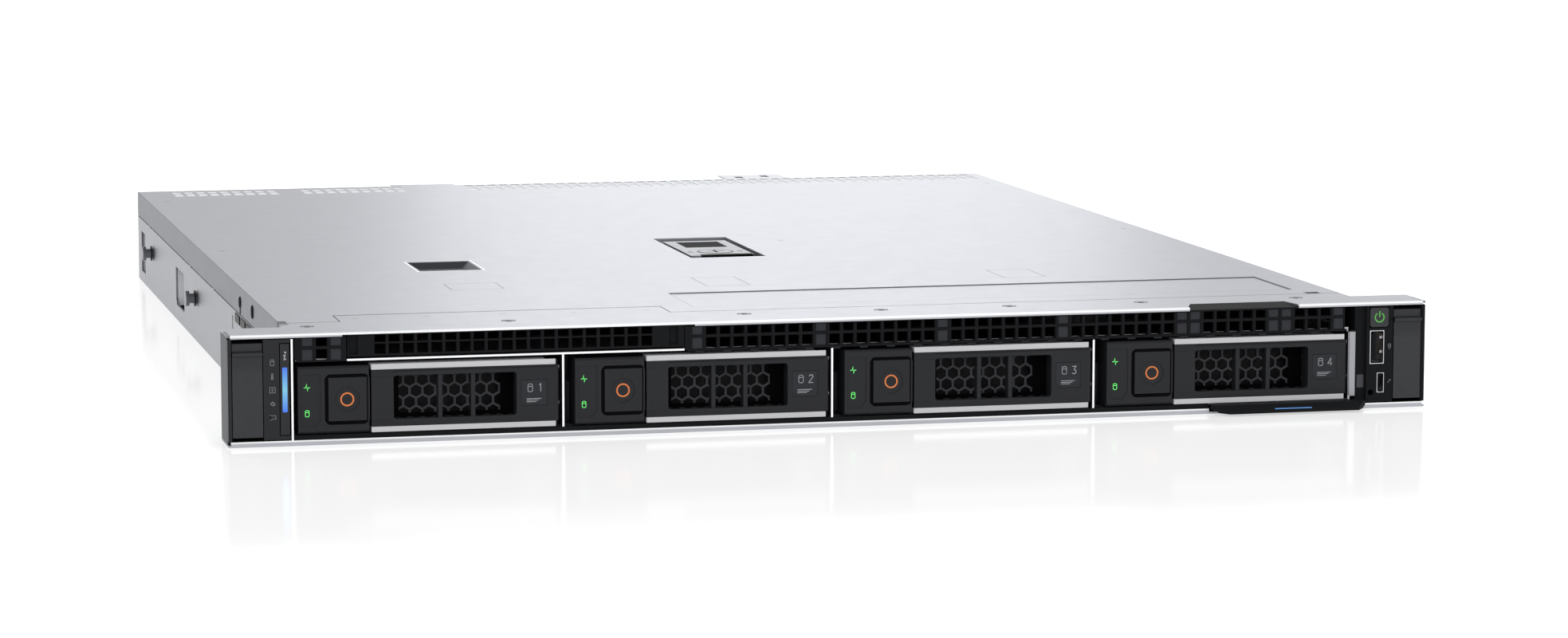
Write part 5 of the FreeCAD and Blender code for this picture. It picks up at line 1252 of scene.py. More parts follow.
@dataclass
class DriveCarrier:
    """Marks, rings, honeycomb and small pieces of one drive carrier.

    Across, places are counted from the centre of the release button's ring; heights are the frame's own.
    The depths of ribs, plates and springs are counted from the face that carries them.
    """

    number: int
    ring_from_left: float = 7.25
    ring_up: float = 8.2
    ring_outer: float = 2.7
    ring_inner: float = 2.08
    dish: float = 0.4
    panel_sunk: float = 0.3
    pulse: Point = (-15.4, 22.1)
    drive: Point = (-15.4, 12.1)
    mark: float = 2.4
    line: float = 0.27
    bezel: Rect = (-8.02, 8.15, 7.72, 26.3)
    bezel_front: float = -21.3
    bezel_corner: float = 1.4
    bezel_wide: float = 1.25
    bezel_line: float = 0.2
    bezel_line_out: float = 0.73
    window: Point = (17.75, 65.4)
    window_low: float = 7.4
    cell: float = 5.0
    cell_rows: int = 4
    overlap: float = 2.0
    web: float = 0.9
    web_thick: float = 0.33
    mesh_front: float = -9.85
    surround: tuple[Box, ...] = (Box(15.55, -10.35, 8.2, 66.4, -9.87, 9.6),
                                 Box(61.0, -10.35, 9.6, 66.4, -9.87, 27.0),
                                 Box(15.55, -10.35, 9.6, 21.35, -9.87, 27.0))
    handle_sunk: float = 0.15
    ribs: tuple[float, ...] = (27.05, 7.15)
    rib: Box = Box(9.4, -0.12, 0.0, 78.5, 0.3, 0.3)
    plate: Box = Box(67.3, 0.02, 12.6, 77.1, 0.16, 22.3)
    plate_corner: float = 1.6
    digit_from_left: float = 7.4
    symbol_from_left: float = 3.4
    label_mark: float = 3.0
    label_rows: int = 3
    label_row: Box = Box(2.0, -0.01, 2.4, -2.0, 0.02, 2.65)
    label_pitch: float = 0.6
    springs: tuple[float, ...] = (27.1, 13.3)
    spring: Box = Box(81.3, 1.2, -0.55, 82.2, 6.0, 0.55)

    def build(self) -> None:
        """Make the pieces of this carrier."""
        self.marks()
        self.button_pieces()
        self.honeycomb()
        self.handle_ribs()
        self.label()
        self.latch_springs()

    @property
    def ring(self) -> Point:
        """Centre of the release button's ring."""
        button = box_of(f"release_button_{self.number}")
        return (button.left + self.ring_from_left, button.low + self.ring_up)

    @property
    def wall(self) -> float:
        """Depth of the carrier's front."""
        return box_of(f"carrier_frame_{self.number}").front

    @property
    def face(self) -> float:
        """Depth of the sunk face along the handle."""
        return box_of(f"carrier_handle_{self.number}").front + self.handle_sunk

    def marks(self) -> None:
        """Green activity marks on the lamp panel."""
        sketch = Sketch()
        surface = -(self.wall + self.panel_sunk)
        for mark, (across, up) in ((Mark.PULSE, self.pulse), (Mark.DRIVE, self.drive)):
            mark.draw(sketch, (self.ring[0] + across, up), self.mark, self.line, Plane.FRONT, surface)
        sketch.finish(f"activity_marks_{self.number}", GREEN_LAMP, f"drive_carrier_{self.number}")

    def button_pieces(self) -> None:
        """Printed ring in the button's dish, a dark stroke of painted shade in the step round the button,
        and a thin line of painted highlight outside it.
        """
        sketch = Sketch()
        surface = -(box_of(f"release_button_{self.number}").front + self.dish)
        sketch.band(self.ring, self.ring_outer, self.ring_inner, Plane.FRONT, surface - SINK,
                    surface + PROUD)
        sketch.finish(f"touch_ring_{self.number}", ORANGE, f"carrier_button_{self.number}")
        left, low, right, high = self.bezel
        middle, out = self.ring[0], -self.bezel_front
        # Painted shade: a near-black stroke round the button; painted highlight: a thin grey line on the
        # step's chamfer outside it.
        for name, reach, wide, finish in (("button_bezel", 0.0, self.bezel_wide, ABS_DEEP),
                                          ("bezel_line", self.bezel_line_out, self.bezel_line, ABS_LINE)):
            route = rounded((middle + left - reach, low - reach), (middle + right + reach, high + reach),
                            self.bezel_corner + reach)
            frame = Sketch().stroke(route, wide, Plane.FRONT, out - SINK, out + SINK, closed=True)
            frame.finish(f"{name}_{self.number}", finish, f"drive_carrier_{self.number}")

    def honeycomb(self) -> None:
        """Six-sided webs of the front wall, seen through the handle, and near-black painted shade round
        them.
        """
        body = f"drive_carrier_{self.number}"
        corner = self.cell / math.sqrt(3)
        web = Sketch().band((0, 0), corner, corner - self.web / math.sqrt(3), Plane.FRONT, 0,
                            self.web_thick, start=90, steps=6)
        left, right = self.window
        first = self.ring[0] + left - self.overlap
        columns = int((right - left + 2 * self.overlap) / self.cell)
        places = []
        for row in range(self.cell_rows):
            # Every second row stands half a cell further on, and the first starts at the window's edge.
            shift = 0.5 + 0.5 * (row % 2)
            up = self.window_low + self.cell * math.sqrt(0.75) * (row + 0.45)
            for column in range(columns):
                places.append((first + self.cell * (column + shift), self.mesh_front + self.web_thick, up))
        Repeat.copies(f"honeycomb_{self.number}", places, web, ABS_LINE, body)
        # Painted shade: near-black sheets round the honeycomb, behind the handle.
        around = Sketch()
        for wall in self.surround:
            around.bar(*wall.corners(self.ring[0]))
        around.finish(f"mesh_surround_{self.number}", ABS_DEEP, body)

    def handle_ribs(self) -> None:
        """Fine ribs along the handle, above and below its window."""
        sketch = Sketch()
        for low in self.ribs:
            sketch.bar(*self.rib.corners(self.ring[0], self.face, low))
        sketch.finish(f"handle_ribs_{self.number}", ABS_PALE, f"carrier_lever_{self.number}")

    def label(self) -> None:
        """Plate where a label sits, printed with the bay's number, a drive and three plain lines."""
        body = f"carrier_lever_{self.number}"
        face = self.face
        left, right = self.ring[0] + self.plate.left, self.ring[0] + self.plate.right
        low, high, corner = self.plate.low, self.plate.high, self.plate_corner
        outline = ((left + corner, low), (right, low), (right, high), (left, high), (left, low + corner))
        plate = Sketch().prism(outline, Plane.FRONT, -face - self.plate.back, -face - self.plate.front)
        plate.finish(f"label_plate_{self.number}", ABS_PALE, body)
        digit = (Mark.ONE, Mark.TWO, Mark.THREE, Mark.FOUR)[self.number - 1]
        ink = Sketch()
        prints = ((digit, self.digit_from_left, 0.3), (Mark.DRIVE, self.symbol_from_left, 0.25))
        for mark, along, line in prints:
            mark.draw(ink, (left + along, high - self.label_mark), self.label_mark, line, Plane.FRONT,
                      -face - SINK, INK)
        row = self.label_row
        for number in range(self.label_rows):
            down = low - self.label_pitch * number
            ink.bar((left + row.left, face + row.front, row.low + down),
                    (right + row.right - number, face + row.back, row.high + down))
        ink.finish(f"label_print_{self.number}", PRINT_PALE, body)

    def latch_springs(self) -> None:
        """Bright ends of the latch springs beside the handle's end."""
        sketch = Sketch()
        for height in self.springs:
            sketch.bar(*self.spring.corners(self.ring[0], self.wall, height))
        sketch.finish(f"latch_springs_{self.number}", NICKEL, f"drive_carrier_{self.number}", 0.1)


@dataclass
class FrontFace:
    """Pieces of the front between the ears: blind cells, grille tabs, a near-black sheet of painted shade
    behind the grille, and rolled post.
    """

    cell: float = 4.3
    pitch: float = 5.482
    first: float = -58.75
    blind: tuple[int, ...] = (0, 9, 18, 27, 36, 37, 43, 44, 48)
    corner_cells: tuple[float, ...] = (-210.582, -199.618)
    rows: tuple[Point, ...] = ((32.3, 36.7), (37.8, 41.0))
    cell_floor: float = -20.7
    tab_first: float = -58.0
    tab_last: float = 200.0
    tab_pitch: float = 10.964
    tab_height: float = 31.15
    tab: Place = (3.2, 0.9, 0.55)
    # Painted shade: a near-black sheet on the cage's top behind the grille, so that its cells read dark.
    shade_sheet: Box = Box(-62.0, -20.4, 32.74, 206.0, 12.0, 32.95)
    post: Point = (208.75, 211.55)
    post_front: float = -21.55
    post_heights: Point = (5.25, 31.2)
    post_bulge: float = 0.55
    post_steps: int = 12

    def build(self) -> None:
        """Make the pieces of the front face."""
        self.blind_cells()
        self.grille_tabs()
        self.rolled_post()
        Sketch().bar(*self.shade_sheet.corners()).finish("grille_gasket", ABS_DEEP, "root")

    def blind_cells(self) -> None:
        """Paler floors of the closed cells of both grilles."""
        columns = [self.first + self.pitch * column for column in self.blind] + list(self.corner_cells)
        half = self.cell / 2 - 0.05
        for name, (low, high) in zip(("blind_cells_low", "blind_cells_high"), self.rows):
            reach = (high - low) / 2
            tile = Sketch().bar((-half, -PROUD, -reach), (half, 0.1, reach))
            places = [(across, self.cell_floor, (low + high) / 2) for across in columns]
            Repeat.copies(name, places, tile, ABS_BLUE, "root")

    def grille_tabs(self) -> None:
        """Small locating tabs that hang from the grille's lower edge."""
        count = int((self.tab_last - self.tab_first) / self.tab_pitch) + 1
        Repeat.bars("grille_tabs", (self.tab_first, self.cell_floor, self.tab_height), self.tab,
                    (self.tab_pitch, 0, 0), count, ABS, "root")

    def rolled_post(self) -> None:
        """Round folded edge of the cage beside the last bay."""
        left, right = self.post
        middle, radius = (left + right) / 2, (right - left) / 2
        turns = [math.pi * step / self.post_steps for step in range(self.post_steps + 1)]
        outline = [(middle + radius * math.cos(turn), self.post_front - self.post_bulge * math.sin(turn))
                   for turn in turns]
        Sketch().prism(outline, Plane.TOP, *self.post_heights).finish("rolled_post", POST, "root")


@dataclass
class ControlEars:
    """Marks, lamps and contacts of the two ears."""

    icon_from_left: float = 16.9
    icon_heights: tuple[float, ...] = (32.1, 26.8, 21.6, 16.4, 11.1)
    icon: float = 2.3
    line: float = 0.26
    panel_sunk: float = 0.1
    window_up: float = 8.7
    window_down: float = 9.0
    window_half: float = 0.95
    window_corner: float = 0.4
    window_out: Point = (-0.5, 0.08)
    letter_down: float = 6.2
    letter_line: float = 0.42
    letter: tuple[Point, ...] = ((-0.55, 1.7), (0.2, 1.9), (-0.2, 0.2), (0.6, 0.35))
    letter_dot: Point = (0.25, 2.9)
    dot_hole: float = 0.0001
    power_radius: float = 1.85
    power_line: float = 0.42
    power_arc: Point = (122, 296)
    power_stem: tuple[float, ...] = (0.2, 2.5)
    # Opening of each port, with the inset and the width of the painted shade round its mouth.
    mouths: tuple[tuple[Rect, float, float], ...] = (((217.6, 17.9, 223.6, 31.4), 0.5, 0.42),
                                                     ((220.75, 6.25, 223.75, 14.25), 0.38, 0.3))
    mouth_corner: float = 0.3
    # The wide tongue ends at the shells' rear; the small one is counted from their right edge.
    wide_tongue: Box = Box(0.9, 0.7, 19.4, 2.9, -1.2, 30.0)
    small_tongue: Box = Box(-1.75, 1.2, 7.6, -1.25, 8.0, 12.9)
    springs: tuple[float, ...] = (22.6, 28.4)
    spring: Box = Box(222.3, 1.6, -0.6, 222.95, 3.0, 0.6)
    contact_first: Place = (2.95, 6.4, 21.0)
    contact: Place = (0.14, 9.0, 1.1)
    contact_pitch: float = 2.45
    contacts: int = 4
    # Height, size and line of the mark beside each port.
    plug_mark: Place = (24.75, 2.4, 0.25)
    service_mark: Place = (10.7, 1.9, 0.26)
    mark_across: float = 226.0
    pad: Box = Box(1.0, 1.72, 8.2, 3.95, 1.85, 13.5)
    tag_line: Point = (174.5, 190.0)
    tag_stretch: Point = (0.75, 1.6)
    tag_foot: float = 1.1
    tag_slope: float = 1.9 / 5

    def build(self) -> None:
        """Make the pieces of both ears."""
        self.indicator_marks()
        self.light_bar()
        self.power_symbol()
        self.port_insides()
        self.port_marks()
        self.tag_print()

    def indicator_marks(self) -> None:
        """Grey pictograms of the indicator panel."""
        panel = box_of("left_control_housing")
        sketch = Sketch()
        marks = (Mark.DRIVE, Mark.HEAT, Mark.SUPPLY, Mark.MEMORY, Mark.CARD)
        for mark, height in zip(marks, self.icon_heights):
            mark.draw(sketch, (panel.left + self.icon_from_left, height), self.icon, self.line, Plane.FRONT,
                      -(panel.front + self.panel_sunk))
        sketch.finish("indicator_marks", PRINT_GREY, "root")

    def light_bar(self) -> None:
        """Blue light window and the information mark of the identity key."""
        key = box_of("identity_key")
        low, high = key.low + self.window_up, key.high - self.window_down
        lamp = Lamp("blue_light_bar", "light_bar", "#3A72E8", 0.3, core="#79C3E0", power=1.0,
                    middle=(low + high) / 2, half=(high - low) / 2)
        middle = (key.left + key.right) / 2
        surface = -key.front
        half = self.window_half
        outline = rounded((middle - half, low), (middle + half, high), self.window_corner)
        window = Sketch().prism(outline, Plane.FRONT, *(surface + out for out in self.window_out))
        window.finish("light_bar", lamp, "light_bar_key")
        foot = key.high - self.letter_down
        route = [(middle + across, foot + up) for across, up in self.letter]
        letter = Sketch().stroke(route, self.letter_line, Plane.FRONT, surface - SINK, surface + PROUD)
        dot = (middle + self.letter_dot[0], foot + self.letter_dot[1])
        letter.band(dot, self.letter_line, self.dot_hole, Plane.FRONT, surface - SINK, surface + PROUD,
                    steps=16)
        letter.finish("information_mark", PRINT_PALE, "light_bar_key")

    def power_symbol(self) -> None:
        """Lit symbol of the power button."""
        key = box_of("power_button")
        centre = ((key.left + key.right) / 2, (key.low + key.high) / 2)
        half = self.power_line / 2
        print_from, print_to = -key.front - SINK, -key.front + PROUD
        sketch = Sketch()
        sketch.band(centre, self.power_radius + half, self.power_radius - half, Plane.FRONT, print_from,
                    print_to, *self.power_arc)
        stem = [(centre[0], centre[1] + rise) for rise in self.power_stem]
        sketch.stroke(stem, self.power_line, Plane.FRONT, print_from, print_to)
        sketch.finish("power_symbol", POWER_LAMP, "power_key")

    def port_insides(self) -> None:
        """Tongues, painted shade round the mouths, springs and contacts in the two front ports."""
        shell = box_of("port_shells")
        panel = box_of("right_control_housing")
        tongue = Sketch()
        wide = self.wide_tongue
        tongue.bar((shell.left + wide.left, panel.front + wide.front, wide.low),
                   (shell.left + wide.right, shell.back + wide.back, wide.high))
        tongue.bar(*self.small_tongue.corners(shell.right, panel.front))
        tongue.finish("port_tongues", ABS_MATT, "root", 0.1)
        # Painted shade: a near-black stroke over the inner part of each shell's front lip.
        mouth_shade = Sketch()
        for (left, low, right, high), inset, line in self.mouths:
            route = rounded((left + inset, low + inset), (right - inset, high - inset), self.mouth_corner)
            mouth_shade.stroke(route, line, Plane.FRONT, -shell.front - SINK, -shell.front + SINK, closed=True)
        mouth_shade.finish("port_liners", ABS_DEEP, "root")
        springs = Sketch()
        for height in self.springs:
            springs.bar(*self.spring.corners(0.0, shell.front, height))
        springs.finish("port_springs", NICKEL, "root", 0.1)
        across, along, up = self.contact_first
        Repeat.bars("front_port_contacts", (shell.left + across, panel.front + along, up), self.contact,
                    (0, 0, self.contact_pitch), self.contacts, GOLD, "root")

    def port_marks(self) -> None:
        """Pictograms beside the two front ports, and the pad between them and the housing's edge."""
        panel = box_of("right_control_housing")
        marks = Sketch()
        surface = -(panel.front + self.panel_sunk)
        for mark, (up, size, line) in ((Mark.PLUG, self.plug_mark), (Mark.SERVICE, self.service_mark)):
            mark.draw(marks, (self.mark_across, up), size, line, Plane.FRONT, surface)
        marks.finish("port_marks", PRINT_GREY, "root")
        pad = Sketch().bar(*self.pad.corners(panel.left, panel.front))
        pad.finish("panel_pad", ABS_LINE, "root")

    def tag_print(self) -> None:
        """Blue line across the sloped grip of the information tag."""
        tag = box_of("information_tag")
        near, far = (tag.front + reach for reach in self.tag_stretch)
        first, last = (tag.low + self.tag_foot + self.tag_slope * reach for reach in self.tag_stretch)
        under, over = 0.05, 0.03
        outline = ((near, first - under), (far, last - under), (far, last + over), (near, first + over))
        Sketch().prism(outline, Plane.RIGHT, *self.tag_line).finish("tag_line", PRINT_BLUE, "tag")


@dataclass
class TopSheet:
    """Fasteners of the strip, and the fittings of the cover's lever and lock."""

    strip_screws: tuple[float, ...] = (-207.7, -129.3, -35.3, 20.3, 73.0, 128.0, 193.7)
    screw_depth: float = 21.7
    screw_head: float = 2.5
    screw_dish: float = 0.4
    screw_sunk: float = 0.1
    screens: tuple[Point, ...] = ((-202.5, -147.0), (-138.5, -83.0), (-54.5, 212.5))
    screen_depths: Point = (520.3, 544.5)
    screen_heights: Point = (42.2, 42.5)
    grip: Box = Box(-5.6, -0.2, 40.3, 17.9, 4.2, 0.04)
    view: Box = Box(-5.1, 241.2, 41.2, 13.5, 263.3, 42.1)
    lock: Point = (4.0, 223.7)
    lock_radius: float = 8.0
    lock_ring: Point = (0.15, 0.75)
    lock_marks: Point = (-7.4, 15.0)
    mark: float = 2.6
    line: float = 0.3
    slot_wide: float = 1.4
    slot_floor: float = 41.75
    slot_high: float = 0.2
    slot_step: float = 0.01

    def build(self) -> None:
        """Make the pieces of the top."""
        strip = box_of("front_top_strip")
        screw = cross_screw(self.screw_head, self.screw_dish)
        depth, up = strip.front + self.screw_depth, strip.high - self.screw_sunk
        places = [(across, depth, up) for across in self.strip_screws]
        Repeat.copies("strip_screws", places, screw, SCREW, "root", math.tau)
        self.vent_screens()
        self.lever()
        self.lock_fittings()

    def vent_screens(self) -> None:
        """Shielding cloth below the three runs of roof vents, pale with painted light so that the vents
        read light grey.
        """
        screens = Sketch()
        (front, back), (low, high) = self.screen_depths, self.screen_heights
        for left, right in self.screens:
            screens.bar((left, front, low), (right, back, high))
        screens.finish("vent_screens", ZINC_PAINTED_LIGHT, "cover")

    def lever(self) -> None:
        """Black grip on the lever's front edge, a near-black block of painted shade in its view slot, and
        the lock's marks.
        """
        lever = box_of("cover_latch")
        part = self.grip
        grip = Sketch().bar((part.left, lever.front + part.front, part.low),
                            (part.right, lever.front + part.back, lever.high + part.high))
        grip.finish("lever_grip", ABS_DEEP, "cover_lever", 0.15)
        # Painted shade: a near-black block at the bottom of the view slot, so that the slot reads dark.
        slot_shade = Sketch().bar(*self.view.corners())
        slot_shade.finish("view_slot_insert", ABS_DEEP, "cover_lever", 0.1)
        marks = Sketch()
        for mark, across in zip((Mark.LOCK, Mark.OPEN), self.lock_marks):
            mark.draw(marks, (across, self.lock[1]), self.mark, self.line, Plane.TOP, lever.high, INK)
        marks.finish("lock_marks", PRINT_DARK_AND_SHADE, "cover_lever")

    def lock_fittings(self) -> None:
        """Dark ring and shaded slots of the quarter-turn lock."""
        lock = box_of("cover_lock")
        reach, half = self.lock_radius / 2 - SINK, self.slot_wide / 2 - SINK
        across, along = self.lock
        floor, crown = self.slot_floor, self.slot_floor + self.slot_high
        outer, inner = (self.lock_radius - inset for inset in self.lock_ring)
        # Painted shade: dark bars fill the cross slots.
        shade = Sketch()
        # The second slot stands a hair higher than the first, so that they share no face.
        shade.bar((across - reach, along - half, floor), (across + reach, along + half, crown))
        shade.bar((across - half, along - reach, floor),
                  (across + half, along + reach, crown + self.slot_step))
        shade.band(self.lock, outer, inner, Plane.TOP, lock.high - SINK, lock.high + INK, steps=48)
        shade.finish("lock_shade", PRINT_DARK_AND_SHADE, "cover_turn_lock")


@dataclass
class Sides:
    """Fingers, near-black painted shade in and behind the skirt's openings, painted shadow rings at the
    studs, and baffles pale with painted light in the openings of the side walls.
    """

    wall: float = 216.2
    proud: float = 217.0
    clip_first: float = 105.25
    clip_pitch: float = 18.5
    clip_count: int = 3
    clip_height: float = 28.7
    clip_out: float = 0.5
    clip: Place = (1.5, 14.4, 3.6)
    tabs: tuple[float, ...] = (228.0, 318.0, 493.0)
    tab_height: float = 30.7
    tab: tuple[Point, ...] = ((-3, 0), (-2.4, 0.7), (2.4, 0.7), (3, 0))
    tab_half: float = 0.2
    # Painted shade: near-black sheets behind the skirt's notches, and caps in its keyhole and oval
    # openings, so that these read dark.
    hole_shades: tuple[Point, ...] = ((88.0, 99.0), (129.8, 138.2))
    hole_shade_heights: Point = (32.2, 41.0)
    hole_shade_inside: Point = (0.06, 0.42)
    opening_shades: tuple[Place, ...] = ((93.5, 37.4, 2.8), (134.0, 36.6, 2.4))
    keyhole_shade_stem: Box = Box(-217.2, 133.3, 32.0, -216.5, 134.7, 34.8)
    baffles: tuple[Box, ...] = (Box(-212.3, 345.0, 0.8, -211.7, 430.0, 30.0),
                                Box(-215.9, 534.8, 0.8, -215.4, 547.0, 26.5))
    reveals: tuple[tuple[float, ...], ...] = ((377.95, 212.4, 6.2, 25.3), (533.9, 213.8, 4.2, 26.2))
    reveal_inset: float = 0.1
    reveal_thick: float = 0.7
    studs: tuple[float, ...] = (108.0, 294.0, 480.0)
    stud_height: float = 19.5
    stud_outer: float = 3.6
    stud_inner: float = 2.25
    stud_out: Point = (0.5, 1.1)

    def build(self) -> None:
        """Make the pieces of both sides."""
        for side, name in ((-1, "left"), (1, "right")):
            first = (side * (self.wall + self.clip_out), self.clip_first, self.clip_height)
            step = (0, self.clip_pitch, 0)
            Repeat.bars(f"ground_fingers_{name}", first, self.clip, step, self.clip_count, SPRING, "root")
            tab = Sketch().prism(self.tab, Plane.LEFT, -self.tab_half, self.tab_half)
            places = [(side * self.proud, along, self.tab_height) for along in self.tabs]
            Repeat.copies(f"seam_tabs_{name}", places, tab, ZINC, "root")
        self.skirt()
        self.window_reveals()
        # Painted shadow: a dark ring round the base of each stud.
        for side, name in ((-1, "left"), (1, "right")):
            near, far = (side * out for out in self.stud_out)
            clip = Sketch().band((0, 0), self.stud_outer, self.stud_inner, Plane.RIGHT, near, far, steps=20)
            places = [(side * self.proud, along, self.stud_height) for along in self.studs]
            Repeat.copies(f"stud_clips_{name}", places, clip, SPRING, "root")

    def skirt(self) -> None:
        """Near-black painted shade behind the notches of the cover's skirt, and near-black caps of painted
        shade that stand in them.
        """
        shade_sheet = Sketch()
        low, high = self.hole_shade_heights
        left, right = (inset - self.wall for inset in self.hole_shade_inside)
        for front, back in self.hole_shades:
            shade_sheet.bar((left, front, low), (right, back, high))
        shade_sheet.finish("skirt_gaskets", ABS_DEEP, "root")
        opening_shades = Sketch()
        foot, rim, crown = 216.4, 217.1, 217.45
        for along, up, radius in self.opening_shades:
            outline = ((0, crown), (radius - 0.4, crown), (radius, rim), (radius, foot), (0, foot))
            opening_shades.lathe(outline, Plane.LEFT, (along, up), 24)
        opening_shades.bar(*self.keyhole_shade_stem.corners())
        opening_shades.finish("skirt_plugs", ABS_DEEP, "cover")

    def window_reveals(self) -> None:
        """Sheet that closes the side windows from inside, pale with painted light so that the windows read
        bright.
        """
        sheet = Sketch()
        for baffle in self.baffles:
            sheet.bar(*baffle.corners())
        for side in (-1, 1):
            for edge, reach, low, high in self.reveals:
                near, far = sorted((side * (self.wall - self.reveal_inset), side * reach))
                sheet.bar((near, edge, low), (far, edge + self.reveal_thick, high))
        sheet.finish("window_reveals", ZINC_PAINTED_LIGHT, "root")


@dataclass
class Rear:
    """Contacts, lamps and guards of the rear wall and the power supplies.

    Boxes of small parts are counted from the middle of their port, the wall and the port's lower edge.
    """

    networks: tuple[float, ...] = (18.0, 38.0, 58.0)
    network_wide: float = 16.0
    contact_first: Place = (4.1, -5.0, 10.3)
    contact: Place = (0.5, 8.0, 0.3)
    contact_pitch: float = 1.1
    contacts: int = 8
    latch_steps: tuple[Box, ...] = (Box(-5.9, -11.0, 2.0, -3.2, -1.0, 4.0),
                                    Box(3.2, -11.0, 2.0, 5.9, -1.0, 4.0),
                                    Box(-6.2, -14.6, 2.0, 6.2, -14.0, 11.0))
    lamp_out: float = 5.6
    lamp: Box = Box(-1.1, -0.3, 11.95, 1.1, -0.02, 12.85)
    tongues: tuple[float, ...] = (0.0, 6.7)
    tongue_middle: float = 3.0
    tongue: Box = Box(-6.0, -12.0, 3.6, 6.0, -1.5, 5.0)
    fields: tuple[float, ...] = (-76.0, -40.0)
    field_size: Point = (30.0, 12.0)
    insulator: Place = (9.2, 8.3, 3.2)
    insulator_out: Point = (4.8, 5.15)
    pin_first: Place = (-6.9, 5.2, 1.4)
    pin_pitch: float = 2.76
    pin_row: float = 2.8
    pins: int = 6
    pin: tuple[Point, ...] = ((0, 0.1), (0.55, 0.1), (0.7, 0.0), (0.7, -0.2), (0, -0.2))
    port_low: float = 8.2
    wall: float = 549.0
    exhaust: Point = (16.5, 20.5)
    guard_rings: tuple[float, ...] = (6.0, 9.6, 13.2)
    guard_wire: float = 0.45
    guard_hub: float = 2.6
    hub_hole: float = 0.001
    guard_sunk: float = 0.6
    guard_out: Point = (0.5, 0.6)
    inlet: Point = (15.5, 16.0)
    inlet_pins: tuple[Point, ...] = ((-7.0, -2.0), (0.0, 2.0), (7.0, -2.0))
    inlet_pin: Box = Box(-1.0, -14.0, -2.2, 1.0, -3.0, 2.2)
    supply_lamp_up: float = 2.9
    supply_lamp: tuple[Point, ...] = ((0, 0.5), (0.8, 0.35), (1.1, 0.0), (1.1, -0.4), (0, -0.4))

    def build(self) -> None:
        """Make the pieces of the rear."""
        self.network_ports()
        self.pin_fields()
        for number in (1, 2):
            self.supply_face(number)

    def network_ports(self) -> None:
        """Gold contacts along the roof of each network port, its latch step and its two lamps."""
        step = Sketch()
        lamps = Sketch()
        across, along, up = self.contact_first
        for number, left in enumerate(self.networks, start=1):
            Repeat.bars(f"network_contacts_{number}",
                        (left + across, self.wall + along, self.port_low + up),
                        self.contact, (self.contact_pitch, 0, 0), self.contacts, GOLD, "root")
            middle = left + self.network_wide / 2
            for part in self.latch_steps:
                step.bar(*part.corners(middle, self.wall, self.port_low))
            for side in (-1, 1):
                lamps.bar(*self.lamp.corners(middle + side * self.lamp_out, self.wall, self.port_low))
        step.finish("network_latch_steps", ABS, "root", 0.1)
        lamps.finish("network_lamps", AMBER_LAMP, "root")
        tongue = Sketch()
        for low in self.tongues:
            tongue.bar(*self.tongue.corners(self.tongue_middle, self.wall, self.port_low + low))
        tongue.finish("rear_port_tongues", ABS_PALE, "root", 0.1)

    def pin_fields(self) -> None:
        """Pale insulator with two rows of gold sockets in each of the wide connectors."""
        body = Sketch()
        places = []
        top, bottom, reach = self.insulator
        across, along, rise = self.pin_first
        for left in self.fields:
            middle, up = left + self.field_size[0] / 2, self.port_low + self.field_size[1] / 2
            outline = ((middle - top, up + reach), (middle - bottom, up - reach),
                       (middle + bottom, up - reach), (middle + top, up + reach))
            body.prism(outline, Plane.REAR, *(self.wall + out for out in self.insulator_out))
            # The second row has one socket less and stands half a pitch further on.
            places += [(middle + across + self.pin_pitch * (column + row / 2), self.wall + along,
                        up + rise - self.pin_row * row)
                       for row in range(2) for column in range(self.pins - row)]
        body.finish("pin_insulators", ABS_PALE, "root", 0.05)
        pin = Sketch().lathe(self.pin, Plane.REAR, (0, 0), 12)
        Repeat.copies("pin_sockets", places, pin, GOLD, "root")

    def supply_face(self, number: int) -> None:
        """Fan guard, inlet pins and lamp of one power supply.

        Args:
            number: which of the two supplies.
        """
        case = box_of(f"power_supply_{number}")
        centre = (case.left + self.exhaust[0], self.exhaust[1])
        body = f"supply_{number}"
        foot, wire = self.wall - self.guard_sunk, self.guard_wire
        rings, hub = (self.wall + out for out in self.guard_out)
        guard = Sketch()
        for radius in self.guard_rings:
            guard.band(centre, radius + wire, radius - wire, Plane.REAR, foot, rings, steps=48)
        guard.band(centre, self.guard_hub, self.hub_hole, Plane.REAR, foot, hub, steps=24)
        guard.finish(f"supply_guard_{number}", NICKEL, body)
        pins = Sketch()
        inlet = case.right - self.inlet[0]
        for across, up in self.inlet_pins:
            pins.bar(*self.inlet_pin.corners(inlet + across, self.wall, self.inlet[1] + up))
        pins.finish(f"inlet_pins_{number}", NICKEL, body, 0.3)
        outline = [(radius, self.wall + out) for radius, out in self.supply_lamp]
        lamp = Sketch().lathe(outline, Plane.REAR, (centre[0], self.supply_lamp_up), 16)
        lamp.finish(f"supply_lamp_{number}", GREEN_LAMP, body)


